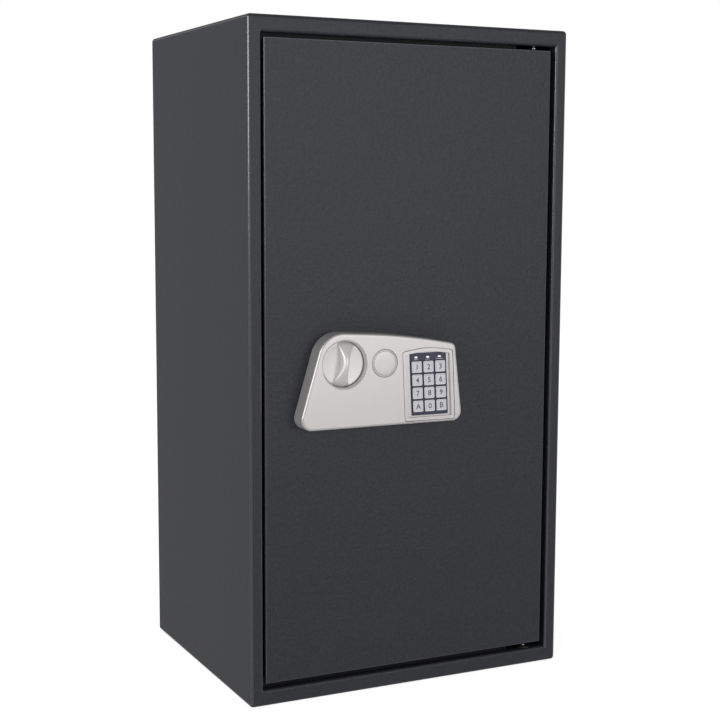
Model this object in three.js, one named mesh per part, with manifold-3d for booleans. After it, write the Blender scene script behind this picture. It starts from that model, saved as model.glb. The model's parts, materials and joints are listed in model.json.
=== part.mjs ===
// A tall steel security cabinet with one hinged door, a round boltwork of three
// bolts and an electronic lock with a turning knob and a twelve-key pad.
//
// Millimetres. X runs to the right as one faces the door, Y runs into the cabinet,
// Z runs up. The origin is the middle of the underside of the cabinet.

import * as THREE from "three";
import { mergeVertices } from "three/addons/utils/BufferGeometryUtils.js";
import Module from "manifold-3d";

const wasm = await Module();
wasm.setup();

// ---------------------------------------------------------------- driving sizes

const clearance = 0.3; // between pieces that touch
const runningGap = 0.4; // between pieces that move against each other

const cabinet = { width: 450, height: 850, depth: 360, sheet: 3 };

const opening = {
  sideBorder: 17.5, // front flange left and right of the door
  endBorder: 21, // front flange above and below the door
  returnDepth: 17, // how far the flange folds back into the cabinet
  stopWidth: 16, // lip behind the top and bottom edge of the door
  stopSheet: 2,
  pinHoleGap: 1, // hinge pin to the hole in the return
};

const door = {
  thickness: 5,
  gapLatch: 3,
  gapHinge: 8,
  gapTop: 5.5,
  gapBottom: 8,
};

const hinge = {
  insetX: 27.5, // pin axis from the hinge edge of the opening
  insetY: 12, // pin axis behind the front face
  pinRadius: 4.5,
  bore: 0.3, // pin to hole, all round
  blockHeight: 36,
  blockBackWall: 4,
  pinEndWall: 4, // block left beyond the end of the pin
  blockHalfWidth: 15,
  bracketHeight: 6,
  bracketHalfWidth: 20,
  bracketDepth: 24,
};

const bolts = {
  radius: 10,
  endMargin: { bottom: 171, top: 173.5 }, // outer bolts from the ends of the door
  throw: 16,
  setback: 1.5, // tip behind the edge of the door when drawn back
  length: 43,
  guideLength: 18,
  guideWall: 8, // guide above and below a bolt
  guideBackWall: 3,
};

const bar = {
  thickness: 5,
  width: 25,
  overrun: 20, // bar past the outer bolts
  wingLength: 79,
  wingHalfHeight: 25,
};

const strike = { sheet: 3, play: 0.8, overrun: 80 };

const lockPlace = { fromLatch: 95.9, z: 429.3 }; // knob axis on the door

const housing = {
  depth: 25,
  wall: 2.5,
  edge: 3,
  aboveKnob: 9.5, // edge of the outline past the knob's recess
  leftTop: -4.3, // upper left corner past the knob's recess
  leftBottom: 31.3, // lower left corner past the knob's recess
  rightTop: 1.6, // upper right corner past the keypad's recess
  rightBottom: 13.1,
  belowPad: 4.3,
  abovePad: 7.5,
  bend: { share: 0.605, drop: 6.8, spread: 55 }, // the slight bend in the upper edge
  radii: { lowerLeft: 14, lowerRight: 12, upperRight: 8, upperLeft: 34 },
};

const knob = {
  radius: 28,
  bore: 1.2, // between the knob and the wall of its recess
  flare: 1.7, // how much wider the recess is at the housing face
  rimDepth: 6, // rim of the knob behind the housing face
  floorDepth: 9, // floor of the recess behind the housing face
  edge: 0.8,
  gripHeight: 13, // crown of the grip in front of the rim
  gripEnd: 11.8, // half width of the grip at its ends
  gripWaist: 4.9, // half width of the grip in the middle
  gripTilt: 8, // degrees from upright
};

const spindle = { radius: 3.5, hole: 1.2, seat: 5.5 };

const cam = {
  radius: 18,
  thickness: 5,
  pinRadius: 3,
  turn: Math.PI / 2,
  slotGap: 0.75,
  play: 1, // between the disc and the bar
};

const cap = {
  fromKnob: 6.4, // between the two recesses
  drop: 0.9, // below the knob axis
  recessGap: 0.5,
  recessDepth: 2.2,
  radius: 17.5,
  skirtRadius: 10,
  skirtWall: 1.6,
  skirtDepth: 3.5,
  wellRadius: 12,
};

const emergency = {
  caseRadius: 10.5,
  caseFront: 7.5, // behind the housing face
  caseLength: 37,
  plugRadius: 6,
  keyway: [2.2, 8, 8],
  leverLength: 19,
  leverWidth: 8,
  leverSheet: 2.5,
};

const pad = {
  fromCap: 10.6, // between the two recesses
  drop: 31.8, // middle below the knob axis
  margin: [9.25, 4.3], // floor of the recess around the plate
  rise: 1.45, // plate and keys above the middle of the recess
  recessDepth: 4.2,
  arch: 5,
  cornerRadius: 4,
  lean: 0.05, // sideways per unit of height, growing downwards
  rim: [1.34, 4.2], // plate around the keys
  lampStrip: 6.3, // more of the plate above the keys
  plateThickness: 2,
  boardMargin: 3,
  boardThickness: 1.6,
  cableHole: 6,
};

const key = {
  size: 14.6,
  gap: [2.2, 2.1], // between neighbours, sideways and upwards
  thickness: 1.2,
  float: 1.3, // cap in front of the plate
  stem: 5,
  cornerRadius: 1.8,
};

const keyNames = ["1", "2", "3", "4", "5", "6", "7", "8", "9", "a", "0", "b"];

const led = { halfWidth: 2.0, halfHeight: 1.15, aboveKeys: 4.9, proud: 0.6 };

const mechanismCover = {
  left: 26.5, // from the latch edge of the door
  right: 79.5, // from the hinge edge of the door
  below: 121,
  above: 123.5,
  behindBolts: 16,
  sheet: 1.5,
  boltHole: 1.5,
};

const standoff = { radius: 5, inset: 20, threadDepth: 14 };
const coverScrew = { radius: 2, length: 9, headRadius: 4.5, headHeight: 2.5 };

const solenoid = {
  size: [26, 34],
  behindPlunger: 9, // case behind the plunger's axis
  floor: 3,
  fromBar: 1.6,
  plungerRadius: 3,
  plungerLength: 30,
  restGap: 2, // plunger tip below the bar
  offsetX: -7.4, // from the knob axis
  notchGap: 0.7,
  notchDepth: 6.5,
};

const battery = {
  place: [168.6, -129.3], // middle from the knob axis
  inside: [60, 54, 18],
  wall: 2,
  window: [56, 50],
  cover: [72, 66, 2],
  ribs: { halfWidth: 12, fromEdge: 6, pitch: 4, width: 1.5, height: 1 },
};

const board = { place: [168.6, -39.3], size: [90, 70, 1.6], lift: 3 };

const resetButton = { place: [114, -110], radius: 4, length: 7, proud: 2 };

const shelfHeights = { lower: 285, upper: 560 };
const shelf = { sheet: 2, lip: 16, frontSetback: 68, backSetback: 5, sideGap: 1 };
const ledge = { leg: 18, sheet: 1.5, endSetback: 2.5 };
const mat = { thickness: 3, sideGap: 1.5, frontSetback: 20 };
const anchor = { radius: 6, spread: 110, backHeight: 600, floorY: 20, matRadius: 9 };

// ------------------------------------------------------------- derived positions

const front = -cabinet.depth / 2;
const back = cabinet.depth / 2;
const side = cabinet.width / 2;
const inner = side - cabinet.sheet;
const open = {
  left: -side + opening.sideBorder,
  right: side - opening.sideBorder,
  bottom: opening.endBorder,
  top: cabinet.height - opening.endBorder,
};
const leaf = {
  left: open.left + door.gapLatch,
  right: open.right - door.gapHinge,
  bottom: open.bottom + door.gapBottom,
  top: open.top - door.gapTop,
  back: front + door.thickness,
};
const pin = { x: open.right - hinge.insetX, y: front + hinge.insetY };
const strikeFront = front + opening.returnDepth + clearance;
const boltY = strikeFront + strike.sheet + strike.play + bolts.radius;
const lowBolt = leaf.bottom + bolts.endMargin.bottom;
const highBolt = leaf.top - bolts.endMargin.top;
const boltHeights = { lower: lowBolt, middle: (lowBolt + highBolt) / 2, upper: highBolt };
const boltTip = leaf.left + bolts.setback;
const barLeft = boltTip + bolts.length + clearance;
const barFront = boltY - bar.thickness / 2;
const barBack = boltY + bar.thickness / 2;
const housingBack = front - clearance;
const housingFront = front - housing.depth;
const coverBox = {
  left: leaf.left + mechanismCover.left,
  right: leaf.right - mechanismCover.right,
  bottom: leaf.bottom + mechanismCover.below,
  top: leaf.top - mechanismCover.above,
  rim: leaf.back + clearance,
  face: boltY + bolts.radius + mechanismCover.behindBolts,
};
const standoffPlaces = [coverBox.bottom, coverBox.top].flatMap((z, i) => {
  const height = i ? z - standoff.inset : z + standoff.inset;
  return [
    [barLeft + bar.width + standoff.inset, height],
    [coverBox.right - standoff.inset, height],
  ];
});

const knobAxis = { x: leaf.left + lockPlace.fromLatch, z: lockPlace.z };

// A drive pin on this radius moves the bar by its throw while the knob turns.
const camPinPath = bolts.throw / 2 / Math.sin(cam.turn / 2);
const camPinRest = Math.PI / 2 - cam.turn / 2;

// The face of the lock, laid out from the knob axis: knob, cap, keypad, then the outline.
const keyPitch = key.gap.map((gap) => key.size + gap);
const plateSize = [
  3 * keyPitch[0] - key.gap[0] + 2 * pad.rim[0] + 2 * pad.lean * key.size,
  4 * keyPitch[1] - key.gap[1] + 2 * pad.rim[1] + pad.lampStrip,
];
const keysDrop = pad.lampStrip / 2;
const recessSize = plateSize.map((size, i) => size + 2 * pad.margin[i]);
const knobBore = knob.radius + knob.bore;
const knobRecess = knobBore + knob.flare;
const knobRim = housingFront + knob.rimDepth;
const knobBack = housingFront + knob.floorDepth - runningGap;
const capRecess = cap.radius + cap.recessGap;
const capPlace = [knobRecess + cap.fromKnob + capRecess, -cap.drop];
const padPlace = [capPlace[0] + capRecess + pad.fromCap + recessSize[0] / 2, -pad.drop];
const outlineCorners = housingCorners();
const outlineRadii = housingRadii();
const plateFront = housingFront + pad.recessDepth - runningGap;
const plateBack = plateFront + pad.plateThickness;
const keyBack = plateFront - key.float;
const keyRow = (row) => (1.5 - row) * keyPitch[1] - keysDrop;

function housingCorners() {
  const right = padPlace[0] + recessSize[0] / 2;
  const low = padPlace[1] - recessSize[1] / 2 - housing.belowPad;
  const upperRight = [right + housing.rightTop, padPlace[1] + recessSize[1] / 2 + housing.abovePad];
  const upperLeft = [-knobRecess - housing.leftTop, knobRecess + housing.aboveKnob];
  const bendX = THREE.MathUtils.lerp(upperLeft[0], upperRight[0], housing.bend.share);
  const bend = [bendX, upperLeft[1] - housing.bend.drop];
  return [
    [-knobRecess - housing.leftBottom, low],
    [right + housing.rightBottom, low],
    upperRight,
    bend,
    upperLeft,
  ];
}

// The bend's radius is the one that starts the curve its spread away on both sides.
function housingRadii() {
  const { lowerLeft, lowerRight, upperRight, upperLeft } = housing.radii;
  const [, , right, bend, left] = outlineCorners.map((corner) => new THREE.Vector2(...corner));
  const between = right.sub(bend).angleTo(left.sub(bend));
  return [lowerLeft, lowerRight, upperRight, housing.bend.spread * Math.tan(between / 2), upperLeft];
}

// -------------------------------------------------------------------- materials

const finish = (color, roughness, metalness) => () =>
  new THREE.MeshStandardMaterial({ color, roughness, metalness });
const anthracitePaint = finish(0x424347, 0.55, 0.1);
const innerPaint = finish(0x3a3b3f, 0.65, 0.1);
const zincPlate = finish(0xb4b6b8, 0.35, 0.9);
const turnedSteel = finish(0xc4c6c8, 0.25, 1);
const silverPlastic = finish(0xcdcac8, 0.35, 0.25);
const keyPlastic = finish(0xc3c2cc, 0.4, 0.1);
const navyPlastic = finish(0x383850, 0.45, 0);
const blackPlastic = finish(0x1c1c1e, 0.55, 0);
const redPlastic = finish(0xb02020, 0.4, 0);
const clearLens = finish(0xf4f6ff, 0.1, 0);
const greenBoard = finish(0x1e5a3a, 0.5, 0.1);
const brassMetal = finish(0xb89a55, 0.3, 0.9);
const greyFelt = finish(0x4c4d50, 0.95, 0);

// ------------------------------------------------------------------ shape tools

function solidOf(geometry) {
  const loose = geometry.index ? geometry.toNonIndexed() : geometry;
  const bare = new THREE.BufferGeometry();
  bare.setAttribute("position", loose.getAttribute("position").clone());
  const merged = mergeVertices(bare, 1e-3);
  const vertProperties = merged.attributes.position.array;
  const triVerts = new Uint32Array(merged.index.array);
  return new wasm.Manifold(new wasm.Mesh({ numProp: 3, vertProperties, triVerts }));
}

function geometryOf(solid) {
  const mesh = solid.getMesh();
  const geometry = new THREE.BufferGeometry();
  geometry.setAttribute("position", new THREE.BufferAttribute(mesh.vertProperties, 3));
  geometry.setIndex(new THREE.BufferAttribute(mesh.triVerts, 1));
  geometry.computeVertexNormals();
  return geometry;
}

const cut = (base, ...tools) =>
  geometryOf(tools.reduce((solid, tool) => solid.subtract(solidOf(tool)), solidOf(base)));
const join = (base, ...more) =>
  geometryOf(more.reduce((solid, piece) => solid.add(solidOf(piece)), solidOf(base)));
const common = (base, other) => geometryOf(solidOf(base).intersect(solidOf(other)));

function block([x0, x1], [y0, y1], [z0, z1]) {
  const geometry = new THREE.BoxGeometry(x1 - x0, y1 - y0, z1 - z0);
  return geometry.translate((x0 + x1) / 2, (y0 + y1) / 2, (z0 + z1) / 2);
}

// A round rod between two values along one axis; the place gives the other two.
function rod(axis, radius, [from, to], [u, v], sides = 32) {
  const geometry = new THREE.CylinderGeometry(radius, radius, to - from, sides);
  const middle = (from + to) / 2;
  if (axis === "x") return geometry.rotateZ(-Math.PI / 2).translate(middle, u, v);
  if (axis === "z") return geometry.rotateX(Math.PI / 2).translate(u, v, middle);
  return geometry.translate(u, middle, v);
}

// A shape drawn as seen from the front, between two depths.
function frontPrism(shape, yFront, yBack, curveSegments = 6) {
  const depth = yBack - yFront;
  const geometry = new THREE.ExtrudeGeometry(shape, { depth, bevelEnabled: false, curveSegments });
  return geometry.rotateX(Math.PI / 2).translate(0, yBack, 0);
}

// A profile turned round the Y axis: pairs of radius and depth.
function turned(profile, sides = 48) {
  const points = profile.map(([radius, y]) => new THREE.Vector2(radius, y));
  return new THREE.LatheGeometry(points, sides);
}

// An anticlockwise outline with rounded corners.
function roundedOutline(corners, radii) {
  const shape = new THREE.Shape();
  corners.forEach((corner, i) => {
    const here = new THREE.Vector2(...corner);
    const before = new THREE.Vector2(...corners.at(i - 1));
    const after = new THREE.Vector2(...corners[(i + 1) % corners.length]);
    const toBefore = before.sub(here).normalize();
    const toAfter = after.sub(here).normalize();
    const half = Math.acos(toBefore.dot(toAfter)) / 2;
    const toCentre = toBefore.clone().add(toAfter).normalize();
    const centre = here.clone().addScaledVector(toCentre, radii[i] / Math.sin(half));
    const start = here.clone().addScaledVector(toBefore, radii[i] / Math.tan(half));
    const end = here.clone().addScaledVector(toAfter, radii[i] / Math.tan(half));
    const startAngle = start.sub(centre).angle();
    const endAngle = end.sub(centre).angle();
    shape.absarc(centre.x, centre.y, radii[i], startAngle, endAngle, false);
  });
  shape.closePath();
  return shape;
}

// The same corners with each edge moved inwards.
function insetCorners(corners, inset) {
  const edges = corners.map((corner, i) => {
    const from = new THREE.Vector2(...corner);
    const along = new THREE.Vector2(...corners[(i + 1) % corners.length]).sub(from).normalize();
    return { from: from.add(new THREE.Vector2(-along.y, along.x).multiplyScalar(inset)), along };
  });
  return edges.map((edge, i) => {
    const previous = edges.at(i - 1);
    const gap = edge.from.clone().sub(previous.from);
    const reach = gap.cross(edge.along) / previous.along.cross(edge.along);
    const corner = previous.from.clone().addScaledVector(previous.along, reach);
    return [corner.x, corner.y];
  });
}

// A rectangle whose sides lean, as seen from the front, with an optional arched top.
function leaningOutline(width, height, radius, arch = 0) {
  const shift = (z) => -pad.lean * z;
  const at = (x, z) => [x + shift(z), z];
  const corners = [
    at(-width / 2, -height / 2),
    at(width / 2, -height / 2),
    at(width / 2, height / 2),
    at(-width / 2, height / 2),
  ];
  const radii = [radius, radius, radius, radius];
  if (arch > 0) {
    corners.splice(3, 0, at(0, height / 2 + arch));
    radii.splice(3, 0, width * 1.4);
  }
  return roundedOutline(corners, radii);
}

function partsGroup(name, x = 0, y = 0, z = 0) {
  const group = new THREE.Group();
  group.name = name;
  group.position.set(x, y, z);
  return group;
}

function add(group, name, geometry, material) {
  const mesh = new THREE.Mesh(geometry, material());
  mesh.name = name;
  group.add(mesh);
  return mesh;
}

// ---------------------------------------------------------------------- cabinet

// Floor, roof and sides in one wrap, open at both ends.
function bodyShellGeometry() {
  const sheet = cabinet.sheet;
  const wrapFront = front + sheet + clearance;
  const outside = block([-side, side], [wrapFront, back], [0, cabinet.height]);
  const cavity = block([-inner, inner], [front, back + 1], [sheet, cabinet.height - sheet]);
  const floorHoles = [-1, 1].map((way) =>
    rod("z", anchor.radius, [-1, sheet + 1], [way * anchor.spread, anchor.floorY]),
  );
  return cut(outside, cavity, ...floorHoles);
}

// The flange round the doorway, its return into the cabinet and the two door stops.
function frontFrameGeometry() {
  const sheet = cabinet.sheet;
  const returnBack = front + opening.returnDepth;
  const flange = block([-side, side], [front, front + sheet], [0, cabinet.height]);
  const collar = block(
    [open.left - sheet, open.right + sheet],
    [front, returnBack],
    [open.bottom - sheet, open.top + sheet],
  );
  const doorway = block(
    [open.left, open.right],
    [front - 1, returnBack + 1],
    [open.bottom, open.top],
  );
  const stopRight = pin.x - hinge.blockHalfWidth - hinge.insetX;
  const stopFront = leaf.back + clearance;
  const stops = [
    [open.top - opening.stopWidth, open.top + sheet / 2],
    [open.bottom - sheet / 2, open.bottom + opening.stopWidth],
  ].map((heights) =>
    block([open.left + hinge.insetX, stopRight], [stopFront, stopFront + opening.stopSheet], heights),
  );
  const pinHoles = [
    [open.top - 1, open.top + sheet + 1],
    [open.bottom - sheet - 1, open.bottom + 1],
  ].map((heights) => rod("z", hinge.pinRadius + opening.pinHoleGap, heights, [pin.x, pin.y]));
  return cut(join(cut(join(flange, collar), doorway), ...stops), ...pinHoles);
}

function backPanelGeometry() {
  const fit = inner - clearance;
  const panel = block(
    [-fit, fit],
    [back - cabinet.sheet, back],
    [cabinet.sheet + clearance, cabinet.height - cabinet.sheet - clearance],
  );
  const holes = [-1, 1].map((way) =>
    rod("y", anchor.radius, [back - 5, back + 1], [way * anchor.spread, anchor.backHeight]),
  );
  return cut(panel, ...holes);
}

// The strip on the back of the latch side's return, behind which the bolts come to lie.
function strikePlateGeometry() {
  return block(
    [-inner + clearance, open.left],
    [strikeFront, strikeFront + strike.sheet],
    [boltHeights.lower - strike.overrun, boltHeights.upper + strike.overrun],
  );
}

function hingeBracketGeometry() {
  const low = hinge.insetY + front + hinge.bracketDepth;
  const plate = block(
    [pin.x - hinge.bracketHalfWidth, pin.x + hinge.bracketHalfWidth],
    [front + cabinet.sheet + clearance, low],
    [0, hinge.bracketHeight],
  );
  const bore = rod("z", hinge.pinRadius + hinge.bore, [-1, hinge.bracketHeight + 1], [pin.x, pin.y]);
  return cut(plate, bore);
}

function shelfGeometry() {
  const y0 = front + shelf.frontSetback;
  const y1 = back - shelf.backSetback;
  const profile = new THREE.Shape([
    new THREE.Vector2(y0, -shelf.lip),
    new THREE.Vector2(y0 + shelf.sheet, -shelf.lip),
    new THREE.Vector2(y0 + shelf.sheet, -shelf.sheet),
    new THREE.Vector2(y1 - shelf.sheet, -shelf.sheet),
    new THREE.Vector2(y1 - shelf.sheet, -shelf.lip),
    new THREE.Vector2(y1, -shelf.lip),
    new THREE.Vector2(y1, 0),
    new THREE.Vector2(y0, 0),
  ]);
  const depth = 2 * (inner - shelf.sideGap);
  const geometry = new THREE.ExtrudeGeometry(profile, { depth, bevelEnabled: false });
  return geometry.translate(0, 0, -depth / 2).rotateX(Math.PI / 2).rotateZ(Math.PI / 2);
}

function ledgeGeometry(way) {
  const y0 = front + shelf.frontSetback + ledge.endSetback;
  const y1 = back - shelf.backSetback - ledge.endSetback;
  const wallX = way * (inner - clearance);
  const sorted = (a, b) => [Math.min(a, b), Math.max(a, b)];
  const upright = sorted(wallX, wallX - way * ledge.sheet);
  const flat = sorted(wallX, wallX - way * ledge.leg);
  return join(
    block(upright, [y0, y1], [-ledge.leg, 0]),
    block(flat, [y0, y1], [-ledge.sheet, 0]),
  );
}

function matGeometry() {
  const fit = inner - mat.sideGap;
  const z0 = cabinet.sheet + clearance;
  const sheet = block(
    [-fit, fit],
    [front + mat.frontSetback, back - cabinet.sheet - mat.sideGap],
    [z0, z0 + mat.thickness],
  );
  const holes = [-1, 1].map((way) =>
    rod("z", anchor.matRadius, [z0 - 1, z0 + mat.thickness + 1], [way * anchor.spread, anchor.floorY]),
  );
  return cut(sheet, ...holes);
}

function buildCabinet(group) {
  add(group, "body_shell", bodyShellGeometry(), anthracitePaint);
  add(group, "front_frame", frontFrameGeometry(), anthracitePaint);
  add(group, "back_panel", backPanelGeometry(), anthracitePaint);
  add(group, "strike_plate", strikePlateGeometry(), zincPlate);
  const bracket = hingeBracketGeometry();
  const above = add(group, "hinge_bracket_top", bracket, zincPlate);
  above.position.z = open.top + cabinet.sheet + clearance;
  const below = add(group, "hinge_bracket_bottom", bracket.clone(), zincPlate);
  below.position.z = open.bottom - cabinet.sheet - clearance - hinge.bracketHeight;
  add(group, "floor_mat", matGeometry(), greyFelt);
  for (const [level, height] of Object.entries(shelfHeights)) {
    add(group, `shelf_${level}`, shelfGeometry(), innerPaint).position.z = height;
    for (const [hand, way] of [["left", -1], ["right", 1]]) {
      const rest = add(group, `shelf_ledge_${level}_${hand}`, ledgeGeometry(way), innerPaint);
      rest.position.z = height - shelf.sheet - clearance;
    }
  }
}

// ------------------------------------------------------------------------- door

function doorPlateGeometry() {
  const plate = block([leaf.left, leaf.right], [front, leaf.back], [leaf.bottom, leaf.top]);
  const through = [front - 1, leaf.back + 1];
  const [capX, capZ] = capPlace;
  const holes = [
    rod("y", spindle.radius + spindle.hole, through, [knobAxis.x, knobAxis.z]),
    rod("y", emergency.caseRadius + clearance, through, [knobAxis.x + capX, knobAxis.z + capZ]),
    rod("y", pad.cableHole, through, [knobAxis.x + padPlace[0], knobAxis.z + padPlace[1]]),
  ];
  const postEnd = coverBox.face - mechanismCover.sheet - clearance;
  const posts = standoffPlaces.map((place) =>
    rod("y", standoff.radius, [leaf.back - 1, postEnd], place, 20),
  );
  const threads = standoffPlaces.map((place) =>
    rod("y", coverScrew.radius + clearance, [postEnd - standoff.threadDepth, postEnd + 1], place, 16),
  );
  return cut(join(plate, ...posts), ...holes, ...threads);
}

// A shallow tray, open towards the door plate, over the whole boltwork.
function mechanismCoverGeometry() {
  const sheet = mechanismCover.sheet;
  const box = coverBox;
  const outside = block([box.left, box.right], [box.rim, box.face], [box.bottom, box.top]);
  const hollow = block(
    [box.left + sheet, box.right - sheet],
    [box.rim - 1, box.face - sheet],
    [box.bottom + sheet, box.top - sheet],
  );
  const boltHoles = Object.values(boltHeights).map((z) =>
    rod("x", bolts.radius + mechanismCover.boltHole, [box.left - 1, box.left + sheet + 1], [boltY, z]),
  );
  const faceCut = [box.face - 3 * sheet, box.face + 1];
  const screwHoles = standoffPlaces.map((place) =>
    rod("y", coverScrew.radius + clearance, faceCut, place, 16),
  );
  const [batteryX, batteryZ] = [knobAxis.x + battery.place[0], knobAxis.z + battery.place[1]];
  const [windowX, windowZ] = battery.window;
  const window = block(
    [batteryX - windowX / 2, batteryX + windowX / 2],
    faceCut,
    [batteryZ - windowZ / 2, batteryZ + windowZ / 2],
  );
  const buttonPlace = [knobAxis.x + resetButton.place[0], knobAxis.z + resetButton.place[1]];
  const buttonHole = rod("y", resetButton.radius + runningGap, faceCut, buttonPlace, 24);
  return cut(outside, hollow, ...boltHoles, ...screwHoles, window, buttonHole);
}

function hingeBlockGeometry() {
  const w = hinge.blockHalfWidth;
  const body = block(
    [pin.x - w, pin.x + w],
    [leaf.back + clearance, pin.y + hinge.pinRadius + hinge.blockBackWall],
    [0, hinge.blockHeight],
  );
  const bore = rod("z", hinge.pinRadius + clearance, [-1, hinge.blockHeight + 1], [pin.x, pin.y]);
  return cut(body, bore);
}

function boltGuideGeometry() {
  const x0 = boltTip + bolts.setback;
  const body = block(
    [x0, x0 + bolts.guideLength],
    [leaf.back + clearance, boltY + bolts.radius + bolts.guideBackWall],
    [-bolts.radius - bolts.guideWall, bolts.radius + bolts.guideWall],
  );
  const bore = rod("x", bolts.radius + runningGap, [x0 - 1, x0 + bolts.guideLength + 1], [boltY, 0]);
  return cut(body, bore);
}

function coverScrewGeometry() {
  const seat = coverBox.face + clearance;
  const top = seat + coverScrew.headHeight;
  return turned([
    [0, seat - coverScrew.length],
    [coverScrew.radius, seat - coverScrew.length],
    [coverScrew.radius, seat],
    [coverScrew.headRadius, seat],
    [coverScrew.headRadius, top - 0.8],
    [coverScrew.headRadius - 1, top],
    [0, top],
  ], 20);
}

function buildDoor(group) {
  add(group, "door_plate", doorPlateGeometry(), anthracitePaint);
  add(group, "boltwork_cover", mechanismCoverGeometry(), innerPaint);
  const pinReach = hinge.blockHeight - hinge.pinEndWall;
  const topBlock = add(group, "hinge_block_top", hingeBlockGeometry(), zincPlate);
  topBlock.position.z = leaf.top - hinge.blockHeight;
  const lowBlock = add(group, "hinge_block_bottom", hingeBlockGeometry(), zincPlate);
  lowBlock.position.z = leaf.bottom;
  const topEnd = open.top + cabinet.sheet + clearance + hinge.bracketHeight;
  const lowEnd = open.bottom - cabinet.sheet - clearance - hinge.bracketHeight;
  const topPin = rod("z", hinge.pinRadius, [leaf.top - pinReach, topEnd], [pin.x, pin.y], 24);
  const lowPin = rod("z", hinge.pinRadius, [lowEnd, leaf.bottom + pinReach], [pin.x, pin.y], 24);
  add(group, "hinge_pin_top", topPin, turnedSteel);
  add(group, "hinge_pin_bottom", lowPin, turnedSteel);
  for (const [level, height] of Object.entries(boltHeights)) {
    add(group, `bolt_guide_${level}`, boltGuideGeometry(), zincPlate).position.z = height;
  }
  standoffPlaces.forEach(([x, z], i) => {
    add(group, `cover_screw_${i + 1}`, coverScrewGeometry(), zincPlate).position.set(x, 0, z);
  });
}

// --------------------------------------------------------------------- boltwork

function boltBarGeometry() {
  const low = boltHeights.lower - bar.overrun;
  const high = boltHeights.upper + bar.overrun;
  const right = barLeft + bar.width;
  const wingRight = barLeft + bar.wingLength;
  const wingLow = knobAxis.z - bar.wingHalfHeight;
  const wingHigh = knobAxis.z + bar.wingHalfHeight;
  const outline = new THREE.Shape([
    new THREE.Vector2(barLeft, low),
    new THREE.Vector2(right, low),
    new THREE.Vector2(right, wingLow),
    new THREE.Vector2(wingRight, wingLow),
    new THREE.Vector2(wingRight, wingHigh),
    new THREE.Vector2(right, wingHigh),
    new THREE.Vector2(right, high),
    new THREE.Vector2(barLeft, high),
  ]);
  const plate = frontPrism(outline, barFront, barBack);
  const deep = [barFront - 1, barBack + 1];
  const reach = cam.pinRadius + cam.slotGap;
  const slotX = knobAxis.x + camPinPath * Math.cos(camPinRest);
  const slotLow = knobAxis.z + camPinPath * Math.sin(camPinRest);
  const slotHigh = knobAxis.z + camPinPath;
  const slot = block([slotX - reach, slotX + reach], deep, [slotLow - reach, slotHigh + reach]);
  const notchHalf = solenoid.plungerRadius + solenoid.notchGap;
  const notches = [0, bolts.throw].map((moved) => {
    const x = knobAxis.x + solenoid.offsetX + moved;
    return block([x - notchHalf, x + notchHalf], deep, [wingLow - 1, wingLow + solenoid.notchDepth]);
  });
  return cut(plate, slot, ...notches);
}

function boltGeometry() {
  const chamfer = 2;
  const profile = [
    [0, -bolts.length / 2],
    [bolts.radius - chamfer, -bolts.length / 2],
    [bolts.radius, -bolts.length / 2 + chamfer],
    [bolts.radius, bolts.length / 2],
    [0, bolts.length / 2],
  ];
  return turned(profile, 32).rotateZ(-Math.PI / 2);
}

function buildBoltwork(group) {
  add(group, "bolt_bar", boltBarGeometry(), zincPlate);
  for (const [level, height] of Object.entries(boltHeights)) {
    const bolt = add(group, `bolt_${level}`, boltGeometry(), turnedSteel);
    bolt.position.set(boltTip + bolts.length / 2, boltY, height);
  }
}

// ------------------------------------------------------------------------- lock

// Everything in this section is placed from the knob axis.

function housingGeometry() {
  const outline = roundedOutline(outlineCorners, outlineRadii);
  const bevel = {
    depth: housing.depth,
    curveSegments: 7,
    bevelEnabled: true,
    bevelThickness: housing.edge,
    bevelSize: housing.edge,
    bevelOffset: -housing.edge,
    bevelSegments: 3,
  };
  const blank = new THREE.ExtrudeGeometry(outline, bevel);
  blank.rotateX(Math.PI / 2).translate(0, housingFront + housing.edge + housing.depth, 0);
  const behind = block([-400, 400], [housingBack, 0], [-400, 400]);
  const innerFront = housingFront + housing.wall;
  const innerRadii = outlineRadii.map((radius) => radius - housing.wall);
  const innerOutline = roundedOutline(insetCorners(outlineCorners, housing.wall), innerRadii);
  const hollow = frontPrism(innerOutline, innerFront, housingBack + 1);
  const [padX, padZ] = padPlace;
  const [capX, capZ] = capPlace;
  const padFloor = housingFront + pad.recessDepth;
  const wide = recessSize.map((size) => size + 2 * housing.wall);
  const padBoss = frontPrism(
    leaningOutline(wide[0], wide[1], pad.cornerRadius + housing.wall, pad.arch),
    innerFront - 1,
    padFloor + housing.wall,
  );
  const capFloor = housingFront + cap.recessDepth;
  const behindKnob = [innerFront - 1, housingFront + knob.floorDepth + housing.wall];
  const behindCap = [innerFront - 1, capFloor + housing.wall];
  const knobBoss = rod("y", knobRecess + housing.wall, behindKnob, [0, 0], 48);
  const capBoss = rod("y", capRecess + housing.wall, behindCap, [capX, capZ], 40);
  const shell = cut(blank, behind, hollow);
  const limits = frontPrism(
    roundedOutline(insetCorners(outlineCorners, 1), outlineRadii.map((radius) => radius - 1)),
    innerFront - 1,
    housingBack,
  );
  const bosses = common(join(padBoss.translate(padX, 0, padZ), knobBoss, capBoss), limits);
  const recess = leaningOutline(recessSize[0], recessSize[1], pad.cornerRadius, pad.arch);
  const window = leaningOutline(plateSize[0] + 2 * clearance, plateSize[1] + 2 * clearance, 1);
  return cut(
    join(shell, bosses),
    knobRecessGeometry(),
    rod("y", spindle.radius + 1, [housingFront - 1, housingBack], [0, 0], 24),
    rod("y", capRecess, [housingFront - 1, capFloor], [capX, capZ], 40),
    rod("y", cap.wellRadius, [housingFront - 1, housingBack], [capX, capZ]),
    frontPrism(recess, housingFront - 1, padFloor, 8).translate(padX, 0, padZ),
    frontPrism(window, housingFront - 1, housingBack, 2).translate(padX, 0, padZ + pad.rise),
  );
}

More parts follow.
